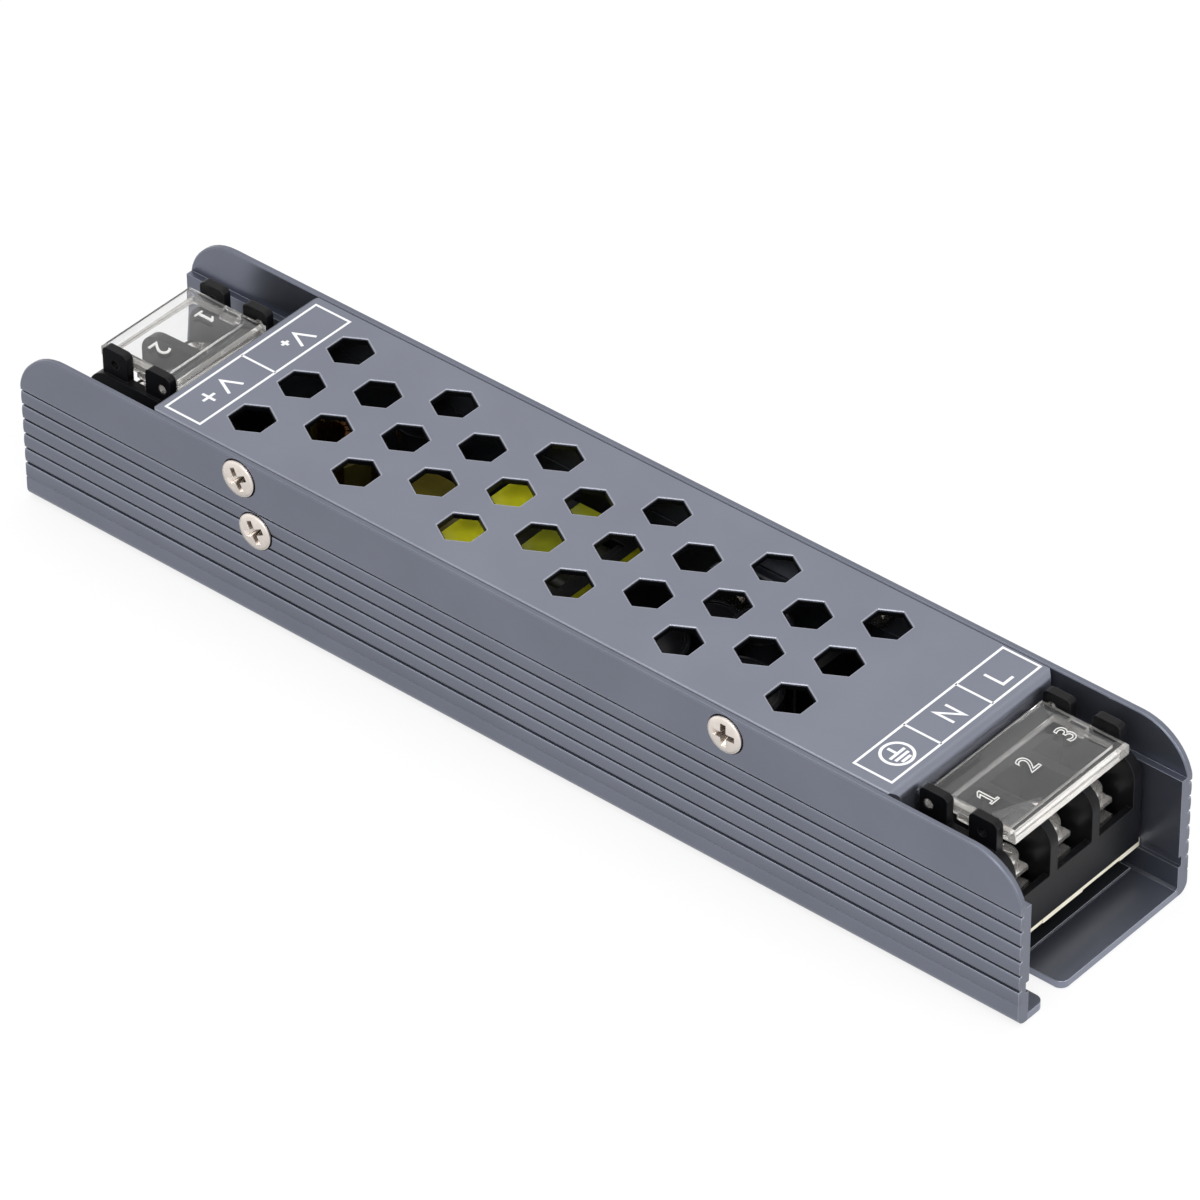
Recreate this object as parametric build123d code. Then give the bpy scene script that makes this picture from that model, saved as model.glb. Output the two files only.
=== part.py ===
from build123d import *
import os
from math import cos, radians, sin, sqrt

# Enclosed LED power supply. Millimetres, +Z up, +X towards the mains input end.
# The origin is the middle of the floor's underside.

# Overall size
overall_length = 200.0
overall_width = 41.0
overall_height = 30.0

# Base channel: an extrusion with ribbed side walls
floor_thickness = 1.3
wall_thickness = 2.4
rim_thickness = 1.2
rim_height = 7.8
floor_corner_radius = 1.8
inner_corner = 0.4
edge_break = 0.2
plain_band_height = 8.9
plain_foot_height = 3.4
groove_pitch = 2.85
groove_width = 0.45
groove_floor_width = 0.35
groove_depth = 0.55
faint_groove_width = 0.5
faint_groove_depth = 0.15
rib_crown = 0.12
board_slot_height = 2.0
board_slot_depth = 0.7
board_slot_floor = 5.6
end_curve_radius = 9.7
end_curve_reach = 9.3

# Open mounting slots in the floor, one at each end, point-symmetric
mount_slot_width = 4.3
mount_slot_depth = 8.0
mount_slot_offset = 11.9
mount_slot_corner = 1.5

# Folded top cover
cover_thickness = 1.0
cover_side_gap = 0.06
cover_input_inset = 24.6
cover_output_inset = 26.8
side_flange_depth = 7.5
end_flange_depth = 10.0
side_bend_radius = 0.4
sharp_bend = 0.1
tongue_side_gap = 0.2
end_bend_radius = 1.5
corner_relief = 2.0

# Hexagonal vents, rows along X, every second row shifted by half a pitch
vent_across_flats = 6.45
vent_pitch = 21.56
vent_row_gap = 5.73
vent_row_count = 5
vent_column_count = 6
vent_field_x = -4.74
vent_field_y = 0.3
vent_edge_break = 0.25

# Countersunk screws through the side walls
side_screw_diameter = 3.0
side_screw_length = 5.5
side_head_diameter = 6.4
side_head_edge_depth = 0.2
countersink_diameter = 7.0
thread_clearance = 0.05
cover_screw_drop = 3.6
cover_screw_input_inset = 31.1
cover_screw_output_inset = 20.0
clamp_screw_height = 17.6
clamp_screw_end = 1.6
recess_length = 3.7
recess_width = 0.9
recess_depth = 0.9

# Insulating sheet and circuit board
sheet_thickness = 0.4
sheet_side_gap = 0.3
sheet_end_inset = 8.3
board_thickness = 1.6
board_side_gap = 0.2
board_end_inset = 7.7
board_notch_length = 9.0
board_notch_depth = 0.15

# Terminal blocks, both of one family
input_poles = 3
input_near_gap = 2.925
input_far_gap = 1.325
input_face_inset = 6.5
output_poles = 2
output_near_gap = 5.5
output_far_gap = 5.5
output_face_inset = 7.4
block_length = 17.2
block_web = 1.8
block_lip_reach = 1.5
block_lip_height = 1.0
block_sill_height = 8.4
block_sill_thickness = 1.2
bay_floor_height = 5.4
bay_length = 13.2
web_lid_gap = 0.3
web_front_radius = 4.1
ear_width = 5.2
ear_thickness = 1.5
ear_side_inset = 0.55
ear_top_inset = 0.2
ear_corner = 1.0
front_ear_inset = 2.8
hinge_inset = 15.5
hinge_ear_drop = 2.6
hinge_pin_diameter = 1.6
hinge_hole_clearance = 0.08
snap_hole_inset = 5.5

# Terminal hardware
plate_thickness = 0.9
plate_width = 6.6
plate_inset = 3.2
plate_end_gap = 0.4
terminal_screw_inset = 6.6
terminal_screw_diameter = 3.5
terminal_screw_reach = 7.0
terminal_head_diameter = 6.2
terminal_head_height = 2.4
terminal_head_edge = 0.7
washer_side = 6.6
washer_thickness = 1.4
washer_chamfer = 0.5
washer_lift = 2.2
screw_well_diameter = 4.4
screw_well_floor = 0.6

# Clear flip lids
lid_thickness = 2.2
lid_front_inset = 0.8
lid_length = 16.4
lid_ear_gap = 0.3
lid_edge_break = 0.5
lid_pocket_depth = 1.1
lid_front_border = 2.0
lid_rear_border = 3.4
lid_side_border = 1.5
lid_rib_height = 0.9
lid_rib_thickness = 1.2
lid_rib_end_gap = 0.4

# Main transformer: two ferrite E halves, bobbin, winding and tape strips
core_length = 29.4
core_width = 22.0
core_height = 14.8
core_yoke = 6.0
core_outer_leg = 3.6
core_centre_leg = 7.0
core_x = -7.4
core_y = 0.0
bobbin_base_height = 1.7
bobbin_wall = 1.0
winding_gap = 0.3
winding_round = 2.5
tape_thickness = 0.25
tape_end_gap = 1.5
yoke_tape_output_width = 9.1
yoke_tape_input_width = 4.2
middle_tape_width = 7.9
middle_tape_start = 11.3

# Capacitors
bulk_diameter = 16.0
bulk_screw_gap = 0.3
bulk_wall_gap = 0.6
small_can_diameter = 9.8
small_can_gap = 0.4
short_can_height = 14.8
tall_can_headroom = 3.0
filter_pair_gap = 0.2
filter_pair_share = 0.594
output_can_height = 16.2
output_can_wall_gap = 0.7
output_can_far_gap = 0.2
can_rim_width = 0.5
can_rim_height = 0.4
film_length = 18.0
film_width = 7.9
film_height = 15.0
film_wall_gap = 1.65
disc_diameter = 9.0
disc_thickness = 3.6
disc_core_gap = 0.7
disc_core_x = -4.6

# Chokes on ring cores
choke_outer_diameter = 18.0
choke_inner_diameter = 9.0
choke_height = 8.0
choke_wall_gap = 1.0
inductor_outer_diameter = 17.0
inductor_inner_diameter = 8.5
inductor_height = 8.0
inductor_y = 5.0
inductor_space_share = 0.66
winding_clearance = 0.1
wire_diameter = 1.0
wire_turns = 14
ring_stand_height = 0.8

# Power transistors held against the walls
pad_thickness = 0.3
pad_margin = 1.0
package_width = 10.0
package_thickness = 4.5
package_height = 6.0
tab_thickness = 1.3
tab_height = 6.4
tab_hole_diameter = 3.6
tab_hole_drop = 2.8
leg_pitch = 2.54
leg_width = 0.8
leg_thickness = 0.5
clamp_bar_width = 6.0
clamp_bar_length = 14.0
clamp_bar_thickness = 2.0
rectifier_end_inset = 49.9

# Small parts on the board
bridge_width = 14.5
bridge_thickness = 3.6
bridge_height = 15.0
bridge_wall_gap = 1.1
bridge_lead_pitch = 3.8
fuse_length = 8.5
fuse_width = 4.4
fuse_height = 8.0
varistor_diameter = 10.0
thermistor_diameter = 9.0
bead_thickness = 4.0
bead_lift = 0.8
lead_diameter = 0.7
lead_spacing = 5.0
chip_length = 6.4
chip_width = 3.9
chip_height = 3.4
chip_leg_pitch = 1.5
chip_wall_gap = 0.3
coupler_length = 4.8
coupler_core_gap = 1.75
drive_coil_side = 12.4
drive_coil_height = 11.5
drive_coil_y = 1.2
drive_coil_gap = 0.3
resistor_diameter = 3.2
resistor_length = 9.0
resistor_core_gap = 0.5
resistor_core_x = 7.0

# Levels and planes that several pieces share
half_length = overall_length / 2
half_width = overall_width / 2
ledge_height = overall_height - rim_height
wall_face = half_width - wall_thickness
rim_face = half_width - rim_thickness
board_top = board_slot_floor + board_thickness
cover_half_width = rim_face - cover_side_gap
cover_input_x = half_length - cover_input_inset
cover_output_x = -(half_length - cover_output_inset)
cover_screw_height = overall_height - cover_screw_drop
cover_screw_input_x = cover_input_x - cover_screw_input_inset
cover_screw_output_x = cover_output_x + cover_screw_output_inset
clamp_screw_length = wall_thickness + pad_thickness + tab_thickness + clamp_bar_thickness + clamp_screw_end

# Heights above the board that the terminal blocks and their lids share
ear_height = overall_height - ear_top_inset - board_top
hinge_height = ear_height - hinge_ear_drop
web_height = hinge_height - lid_thickness / 2 - lid_rib_height - web_lid_gap

# Board space between the terminal blocks, split by the transformer
input_space_end = half_length - input_face_inset - block_length
output_space_end = -(half_length - output_face_inset - block_length)
core_input_x = core_x + core_length / 2 + tape_thickness
core_output_x = core_x - core_length / 2 - tape_thickness
core_side = core_width / 2 + tape_thickness


def spread(lengths, low, high):
    """Middles of pieces that stand in a row between two planes, gaps equal."""
    gap = (high - low - sum(lengths)) / (len(lengths) + 1)
    middles = []
    start = low
    for length in lengths:
        start = start + gap
        middles.append(start + length / 2)
        start = start + length
    return middles


# Row along the near wall at the input end, then the row along the far wall
winding_build = 2 * (winding_clearance + wire_diameter)
choke_reach = choke_outer_diameter + winding_build
near_row = (bulk_diameter, bulk_diameter, choke_reach, bead_thickness)
bulk_output_x, bulk_input_x, choke_x, thermistor_x = spread(near_row, core_input_x, input_space_end)
far_row = (clamp_bar_length, chip_length, bridge_thickness, film_length, fuse_width)
switch_x, chip_x, bridge_x, film_x, fuse_x = spread(far_row, core_input_x, input_space_end)
bulk_y = -(wall_face - bulk_wall_gap - bulk_diameter / 2)
bulk_height = cover_screw_height - side_screw_diameter / 2 - bulk_screw_gap - board_top
choke_y = -(wall_face - choke_wall_gap - choke_reach / 2)
chip_y = wall_face - chip_wall_gap - leg_thickness - chip_width / 2
bridge_y = wall_face - bridge_wall_gap - bridge_width / 2
film_y = wall_face - film_wall_gap - film_width / 2

# Pair of small cans between the transformer and the bridge rectifier
bridge_side = bridge_x - bridge_thickness / 2
filter_pair_x = core_input_x + filter_pair_share * (bridge_side - core_input_x)
short_can_x = filter_pair_x - (small_can_diameter + filter_pair_gap) / 2
tall_can_x = filter_pair_x + (small_can_diameter + filter_pair_gap) / 2
filter_can_y = bulk_y + (bulk_diameter + small_can_diameter) / 2 + small_can_gap
tall_can_height = overall_height - cover_thickness - tall_can_headroom - board_top

# Surge parts across the board, in front of the input block
across_row = (thermistor_diameter, varistor_diameter, fuse_length)
thermistor_y, varistor_y, fuse_y = spread(across_row, -wall_face, wall_face)

# Output end: ring inductor, a can and the drive transformer in one row
rectifier_x = -(half_length - rectifier_end_inset)
inductor_reach = inductor_outer_diameter + winding_build
output_row = inductor_reach + output_can_far_gap + small_can_diameter + drive_coil_gap + drive_coil_side
output_space = core_output_x - output_space_end - output_row
inductor_x = output_space_end + inductor_space_share * output_space + inductor_reach / 2
output_can_far_x = inductor_x + (inductor_reach + small_can_diameter) / 2 + output_can_far_gap
drive_coil_x = output_can_far_x + (small_can_diameter + drive_coil_side) / 2 + drive_coil_gap
clamp_side = clamp_bar_length / 2
output_can_end_x = (output_space_end + rectifier_x - clamp_side) / 2
output_can_mid_x = (rectifier_x + clamp_side + core_output_x) / 2
output_can_y = wall_face - output_can_wall_gap - small_can_diameter / 2

# Parts in the lanes beside the transformer
coupler_x = core_output_x - coupler_core_gap - coupler_length / 2
disc_capacitor_x = core_x + disc_core_x
disc_capacitor_y = core_y + core_side + disc_core_gap + disc_thickness / 2
resistor_x = core_x + resistor_core_x
resistor_lane = core_side + resistor_core_gap + resistor_diameter / 2


def slab(x_span, y_span, z_span):
    """A plain rectangular solid between three pairs of planes."""
    low = Vector(x_span[0], y_span[0], z_span[0])
    high = Vector(x_span[1], y_span[1], z_span[1])
    size = high - low
    middle = (low + high) * 0.5
    return Pos(middle.X, middle.Y, middle.Z) * Box(size.X, size.Y, size.Z)


def post(radius, height, x, y, z):
    """An upright cylinder that stands on the level z."""
    standing = (Align.CENTER, Align.CENTER, Align.MIN)
    return Pos(x, y, z) * Cylinder(radius, height, align=standing)


def turned(outline):
    """A turned solid from (radius, height) points, about the Z axis."""
    face = make_face(Plane.XZ * Polyline(*outline, close=True))
    return revolve(face, Axis.Z)


def save(name, *solids):
    """Write one node, as one solid or as a group of separate solids."""
    shape = solids[0] if len(solids) == 1 else Compound(list(solids))
    export_step(shape, f"parts/{name}.step")


# Base channel

def wall_outline():
    """Outer face of one wall from the floor up: corner arc, grooves and ribs."""
    reach = floor_corner_radius
    diagonal = reach * sin(radians(45))
    centre_y = half_width - reach
    corner_middle = (centre_y + diagonal, reach - diagonal)
    lines = [
        Line((0, 0), (centre_y, 0)),
        ThreePointArc((centre_y, 0), corner_middle, (half_width, reach)),
    ]
    top_groove = overall_height - plain_band_height
    groove_count = int((top_groove - plain_foot_height) / groove_pitch)
    low_groove = top_groove - (groove_count - 1) * groove_pitch
    faint_groove = low_groove - groove_pitch
    half_faint = faint_groove_width / 2
    half_groove = groove_width / 2
    half_floor = groove_floor_width / 2
    groove_face = half_width - groove_depth
    start = (half_width, low_groove - half_groove)
    lines.append(
        Polyline(
            (half_width, reach),
            (half_width, faint_groove - half_faint),
            (half_width - faint_groove_depth, faint_groove),
            (half_width, faint_groove + half_faint),
            start,
        )
    )
    for index in range(groove_count):
        height = low_groove + index * groove_pitch
        is_top = index == groove_count - 1
        above_y = half_width if is_top else half_width - rib_crown
        above = (above_y, height + half_groove)
        groove_low = (groove_face, height - half_floor)
        groove_high = (groove_face, height + half_floor)
        lines.append(Polyline(start, groove_low, groove_high, above))
        if not is_top:
            next_low = height + groove_pitch - half_groove
            crown = (half_width, (above[1] + next_low) / 2)
            start = (half_width - rib_crown, next_low)
            lines.append(ThreePointArc(above, crown, start))
    return lines, above


def channel_section():
    """Half of the extrusion's section, in the Y-Z plane."""
    lines, last = wall_outline()
    slot_face = wall_face + board_slot_depth
    slot_top = board_slot_floor + board_slot_height
    inside = Polyline(
        last,
        (half_width, overall_height),
        (rim_face, overall_height),
        (rim_face, ledge_height),
        (wall_face, ledge_height),
        (wall_face, slot_top),
        (slot_face, slot_top),
        (slot_face, board_slot_floor),
        (wall_face, board_slot_floor),
        (wall_face, floor_thickness + inner_corner),
        (wall_face - inner_corner, floor_thickness),
        (0, floor_thickness),
        (0, 0),
    )
    return make_face(Plane.YZ * Curve([*lines, inside]))


def end_corner_cut():
    """What the curved end corners remove, across both walls at the +X end."""
    rise = sqrt(end_curve_radius ** 2 - end_curve_reach ** 2)
    centre_z = overall_height - end_curve_radius
    start_x = half_length - end_curve_reach
    half_turn = radians(45)
    middle = (
        start_x + end_curve_radius * sin(half_turn),
        centre_z + end_curve_radius * cos(half_turn),
    )
    end = (half_length, centre_z + rise)
    beyond = half_length + 1
    above = overall_height + 1
    edge = Curve([
        ThreePointArc((start_x, overall_height), middle, end),
        Polyline(end, (beyond, end[1]), (beyond, above), (start_x, above), (start_x, overall_height)),
    ])
    face = make_face(Plane.XZ * edge)
    return extrude(face, amount=half_width + 1, both=True)


def mount_slot(end):
    """Open slot in the floor at one end, with rounded mouth corners."""
    centre_y = -end * mount_slot_offset
    radius = mount_slot_width / 2
    root_x = half_length - mount_slot_depth + radius
    width = (centre_y - radius, centre_y + radius)
    sides = sorted((end * root_x, end * (half_length + 1)))
    through = (-1, floor_thickness + 1)
    cut = slab(sides, width, through)
    return cut + post(radius, floor_thickness + 2, end * root_x, centre_y, -1)


def side_screw_void(x, side, height, length):
    """Countersink and thread hole, entered from the outside of a wall."""
    head = countersink_diameter / 2
    shank = side_screw_diameter / 2 + thread_clearance
    outline = [
        (0, 0.01),
        (head + 0.01, 0.01),
        (shank, shank - head),
        (shank, -length - 0.3),
        (0, -length - 0.3),
    ]
    return Pos(x, side * half_width, height) * Rot(-side * 90, 0, 0) * turned(outline)


def cover_screw_places():
    """Every cover screw as (x, side of the channel)."""
    rows = (cover_screw_input_x, cover_screw_output_x)
    return [(x, side) for side in (-1, 1) for x in rows]


def clamp_screw_places():
    """Every transistor clamp screw as (x, side of the channel)."""
    return [(rectifier_x, -1), (switch_x, 1)]


def base_channel():
    half = extrude(channel_section(), amount=half_length, both=True)
    body = half + mirror(half, Plane.XZ)
    cut = end_corner_cut()
    body = body - cut - mirror(cut, Plane.YZ)
    rims = body.edges().filter_by(lambda edge: is_rim_edge(edge))
    body = chamfer(rims, edge_break)
    for end in (-1, 1):
        body = body - mount_slot(end)
    mouths = body.edges().filter_by(Axis.Z).filter_by(lambda edge: is_slot_mouth(edge))
    body = fillet(mouths, mount_slot_corner)
    for x, side in cover_screw_places():
        body = body - side_screw_void(x, side, cover_screw_height, side_screw_length)
    for x, side in clamp_screw_places():
        body = body - side_screw_void(x, side, clamp_screw_height, clamp_screw_length)
    return body


def is_rim_edge(edge):
    """Upper edges of the walls, straight or curved, inside and outside."""
    middle = edge.center(CenterOf.BOUNDING_BOX)
    along_x = abs((edge @ 1 - edge @ 0).X) > end_curve_reach / 2
    on_wall = abs(middle.Y) > rim_face - 0.01
    return along_x and on_wall and middle.Z > ledge_height + 0.5 and not is_groove_edge(edge)


def is_groove_edge(edge):
    """Straight edges along the channel that lie below its top."""
    straight = edge.geom_type == GeomType.LINE
    return straight and edge.center().Z < overall_height - 0.01


def is_slot_mouth(edge):
    """Upright edges where the open slots leave the floor's end."""
    middle = edge.center()
    at_end = abs(abs(middle.X) - half_length) < 0.01
    gap = abs(abs(middle.Y) - mount_slot_offset) - mount_slot_width / 2
    return at_end and abs(gap) < 0.01 and middle.Z < floor_thickness


# Top cover

def hexagon(inner_radius):
    return RegularPolygon(inner_radius, 6, major_radius=False, rotation=30)


def hexagon_prism(across_flats, low, high):
    """A hexagonal prism with two flats facing along X."""
    return Pos(0, 0, low) * extrude(hexagon(across_flats / 2), amount=high - low)


def vent_places():
    """Centres of all vents; the odd rows have one vent fewer."""
    places = []
    middle_row = (vent_row_count - 1) / 2
    for row in range(vent_row_count):
        count = vent_column_count - row % 2
        y = vent_field_y + (row - middle_row) * vent_row_gap
        for column in range(count):
            x = vent_field_x + (column - (count - 1) / 2) * vent_pitch
            places.append((x, y))
    return places


def cover_envelope(inset):
    """The folded cover's outside, or its inside when inset by the sheet."""
    side = cover_half_width - inset
    top = overall_height - inset
    low = overall_height - end_flange_depth - inset
    span = (cover_output_x + inset, cover_input_x - inset)
    solid = slab(span, (-side, side), (low, top))
    end_bends = solid.edges().filter_by(Axis.Y).group_by(Axis.Z)[-1]
    side_bends = solid.edges().filter_by(Axis.X).group_by(Axis.Z)[-1]
    bent_at_ends = fillet(end_bends, end_bend_radius - inset)
    bent_at_sides = fillet(side_bends, max(side_bend_radius - inset, sharp_bend))
    return bent_at_ends & bent_at_sides


def top_cover():
    body = cover_envelope(0) - cover_envelope(cover_thickness)
    side_low = overall_height - side_flange_depth
    inner_x = (cover_output_x + cover_thickness, cover_input_x - cover_thickness)
    all_x = (-half_length, half_length)
    body = body - slab(inner_x, (-half_width, half_width), (0, side_low))
    tongue = wall_face - tongue_side_gap
    for side in (-1, 1):
        below = sorted((side * tongue, side * half_width))
        body = body - slab(all_x, below, (0, side_low))
        for x in (cover_output_x, cover_input_x):
            corner = Pos(x, side * cover_half_width, overall_height) * Rot(0, 0, 45)
            body = body - corner * Box(corner_relief, corner_relief, overall_height)
    hole = hexagon_prism(vent_across_flats, ledge_height, overall_height + 1) + vent_edge_void()
    for x, y in vent_places():
        body = body - Pos(x, y, 0) * hole
    for x, side in cover_screw_places():
        body = body - side_screw_void(x, side, cover_screw_height, side_screw_length)
    return body


def vent_edge_void():
    """The broken edge round the top of one vent."""
    radius = vent_across_flats / 2
    lower = Pos(0, 0, overall_height - vent_edge_break) * hexagon(radius)
    upper = Pos(0, 0, overall_height) * hexagon(radius + vent_edge_break)
    return loft([lower, upper])


# Fasteners

def cross_recess():
    """The cross-shaped driver recess, cut down from a head's top."""
    bar = Box(recess_length, recess_width, 2 * recess_depth)
    return bar + Rot(0, 0, 90) * bar


def side_screw(x, side, height, length):
    """Countersunk screw that lies in its countersink, head flush with the wall."""
    head = side_head_diameter / 2
    shank = side_screw_diameter / 2
    edge = side_head_edge_depth
    outline = [
        (0, 0),
        (head, -edge),
        (shank, -edge - head + shank),
        (shank, -length),
        (0, -length),
    ]
    solid = turned(outline) - cross_recess()
    return Pos(x, side * half_width, height) * Rot(-side * 90, 0, 0) * solid


# Sheet and board

def insulating_sheet():
    reach = wall_face - inner_corner - sheet_side_gap
    length = half_length - sheet_end_inset
    levels = (floor_thickness, floor_thickness + sheet_thickness)
    return slab((-length, length), (-reach, reach), levels)


def circuit_board():
    """Board in the wall slots; its ends have shallow notches from the panel."""
    reach = wall_face + board_slot_depth - board_side_gap
    length = half_length - board_end_inset
    levels = (board_slot_floor, board_top)
    board = slab((-length, length), (-reach, reach), levels)
    for end in (-1, 1):
        for side in (-1, 1):
            middle = side * reach / 2
            span = (middle - board_notch_length / 2, middle + board_notch_length / 2)
            depth = sorted((end * (length - board_notch_depth), end * (length + 1)))
            board = board - slab(depth, span, (0, overall_height))
    return board


# Terminal blocks

class TerminalBlock:
    """One barrier block: its poles, where its open face is and which way it looks."""

    def __init__(self, name, poles, near_gap, far_gap, face_inset, end):
        self.name = name
        self.poles = poles
        self.end = end
        self.face_x = end * (half_length - face_inset)
        self.offset = (near_gap - far_gap) / 2
        self.half_width = wall_face - (near_gap + far_gap) / 2
        self.pitch = (2 * self.half_width - block_web) / poles
        self.ear_outer = self.half_width - ear_side_inset
        self.ear_inner = self.ear_outer - ear_thickness
        self.lid_half_width = self.ear_inner - lid_ear_gap

    def place(self, solid):
        """From the block's own frame (face at X 0, board at Z 0) to the part's."""
        turn = 0 if self.end > 0 else 180
        return Pos(self.face_x, self.offset, board_top) * Rot(0, 0, turn) * solid

    def bay_centres(self):
        middle = (self.poles - 1) / 2
        return [(index - middle) * self.pitch for index in range(self.poles)]


def web_side_outline():
    """Side view of the block: overhanging lip, upright face, rounded shoulder."""
    centre_z = web_height - web_front_radius
    diagonal = web_front_radius * sin(radians(45))
    shoulder = (-web_front_radius + diagonal, centre_z + diagonal)
    crest = (-web_front_radius, web_height)
    return Curve([
        Polyline(
            crest,
            (-block_length, web_height),
            (-block_length, 0),
            (-block_lip_reach, 0),
            (-block_lip_reach, block_lip_height),
            (0, block_lip_height),
            (0, centre_z),
        ),
        ThreePointArc((0, centre_z), shoulder, crest),
    ])


def block_ear(block, side, front):
    """An ear beside the lid, from inset front to front plus its width."""
    span = (block.ear_inner, block.ear_outer) if side > 0 else (-block.ear_outer, -block.ear_inner)
    ear = slab((-front - ear_width, -front), span, (web_height - 1, ear_height))
    corners = ear.edges().filter_by(Axis.Y).group_by(Axis.Z)[-1]
    return fillet(corners, ear_corner)


def block_body(block):
    face = make_face(Plane.XZ * web_side_outline())
    body = extrude(face, amount=block.half_width, both=True)
    bay_half = (block.pitch - block_web) / 2
    above = web_height + 1
    for y in block.bay_centres():
        span = (y - bay_half, y + bay_half)
        inner = slab((-bay_length, -block_sill_thickness), span, (bay_floor_height, above))
        mouth = slab((-block_sill_thickness, 1), span, (block_sill_height, above))
        well_height = bay_floor_height - screw_well_floor + 1
        well = post(screw_well_diameter / 2, well_height, -terminal_screw_inset, y, screw_well_floor)
        body = body - (inner + mouth + well)
    for side in (-1, 1):
        body = body + block_ear(block, side, front_ear_inset)
        body = body + block_ear(block, side, block_length - ear_width)
    hinge_hole = hinge_pin_diameter / 2 + hinge_hole_clearance
    for inset, radius in ((hinge_inset, hinge_hole), (snap_hole_inset, hinge_pin_diameter / 2)):
        bore = Pos(-inset, 0, hinge_height) * Rot(90, 0, 0) * Cylinder(radius, overall_width)
        body = body - bore
    return block.place(body)


def terminal_plate(block, y):
    """Flat plate on the bay's floor, threaded for its screw."""
    levels = (bay_floor_height, bay_floor_height + plate_thickness)
    span = (-bay_length + plate_end_gap, -plate_inset)
    plate = slab(span, (y - plate_width / 2, y + plate_width / 2), levels)
    hole_radius = terminal_screw_diameter / 2 + thread_clearance
    hole = post(hole_radius, overall_height, -terminal_screw_inset, y, 0)
    return block.place(plate - hole)


def clamp_washer(block, y):
    """Square clamp washer, lifted clear of the plate as delivered."""
    low = bay_floor_height + plate_thickness + washer_lift
    half = washer_side / 2
    x = -terminal_screw_inset
    washer = slab((x - half, x + half), (y - half, y + half), (low, low + washer_thickness))
    washer = chamfer(washer.edges().group_by(Axis.Z)[-1], washer_chamfer)
    hole = post(terminal_screw_diameter / 2 + 0.1, overall_height, x, y, 0)
    return block.place(washer - hole)


def terminal_screw(block, y):
    """Pan-head screw through washer and plate."""
    seat = bay_floor_height + plate_thickness + washer_lift + washer_thickness
    head = terminal_head_diameter / 2
    shank = terminal_screw_diameter / 2
    edge = terminal_head_edge
    top = terminal_head_height
    outline = [
        (0, -terminal_screw_reach),
        (shank, -terminal_screw_reach),
        (shank, 0),
        (head, 0),
        (head, top - edge),
        (head - edge, top),
        (0, top),
    ]
    return block.place(Pos(-terminal_screw_inset, y, seat) * turned(outline))


def terminal_lid(block):
    """Clear lid: pocketed plate with side ribs and hinge pins."""
    front = -lid_front_inset
    rear = front - lid_length
    side = block.lid_half_width
    low = hinge_height - lid_thickness / 2
    high = hinge_height + lid_thickness / 2
    lid = slab((rear, front), (-side, side), (low, high))
    lid = chamfer(lid.edges().group_by(Axis.Z)[-1], lid_edge_break)
    pocket = slab(
        (rear + lid_rear_border, front - lid_front_border),
        (-side + lid_side_border, side - lid_side_border),
        (low - 1, low + lid_pocket_depth),
    )
    lid = lid - pocket
    rib_front = -(front_ear_inset + ear_width) - lid_rib_end_gap
    rib_rear = -(block_length - ear_width) + lid_rib_end_gap
    for hand in (-1, 1):
        faces = sorted((hand * side, hand * (side - lid_rib_thickness)))
        rib = slab((rib_rear, rib_front), faces, (low - lid_rib_height, low + lid_pocket_depth))
        lid = lid + rib
    pin_length = 2 * (block.ear_outer - 0.1)
    pin = Cylinder(hinge_pin_diameter / 2, pin_length)
    lid = lid + Pos(-hinge_inset, 0, hinge_height) * Rot(90, 0, 0) * pin
    return block.place(lid)


# Transformer

def core_span():
    return (core_x - core_length / 2, core_x + core_length / 2)


def core_faces():
    return (core_y - core_width / 2, core_y + core_width / 2)


def core_levels():
    low = board_top + bobbin_base_height
    return (low, low + core_height)


def core_halves():
    """Two E halves that meet at the middle of their legs."""
    x_span = core_span()
    y_span = core_faces()
    z_span = core_levels()
    frame = slab(x_span, y_span, z_span)
    window_x = (x_span[0] + core_yoke, x_span[1] - core_yoke)
    window_y = (y_span[0] + core_outer_leg, y_span[1] - core_outer_leg)
    window = slab(window_x, window_y, (0, overall_height))
    leg_y = (core_y - core_centre_leg / 2, core_y + core_centre_leg / 2)
    leg_z = (z_span[0] + core_outer_leg, z_span[1] - core_outer_leg)
    core = frame - window + slab(window_x, leg_y, leg_z)
    halves = []
    for span in ((x_span[0] - 1, core_x), (core_x, x_span[1] + 1)):
        halves.append(core & slab(span, (-half_width, half_width), (0, overall_height)))
    return halves


def tape_strip(x_low, width):
    """A strip of tape over the core's top and down both of its sides."""
    y_span = core_faces()
    low, high = core_levels()
    skin = tape_thickness
    outer = slab(
        (x_low, x_low + width),
        (y_span[0] - skin, y_span[1] + skin),
        (low + tape_end_gap, high + skin),
    )
    shoulders = outer.edges().filter_by(Axis.X).group_by(Axis.Z)[-1]
    outer = fillet(shoulders, skin * 2)
    return outer - slab((x_low - 1, x_low + width + 1), y_span, (0, high))


def transformer_winding():
    """Barrel of wire round the centre leg, between the outer legs."""
    x_span = core_span()
    gap = winding_gap
    span = (x_span[0] + core_yoke + gap + bobbin_wall, x_span[1] - core_yoke - gap - bobbin_wall)
    y_span = core_faces()
    reach = (y_span[0] + core_outer_leg + gap, y_span[1] - core_outer_leg - gap)
    low, high = core_levels()
    barrel = slab(span, reach, (low + gap, high - gap))
    barrel = fillet(barrel.edges().filter_by(Axis.X), winding_round)
    return barrel - bobbin_tube(gap)


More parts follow.
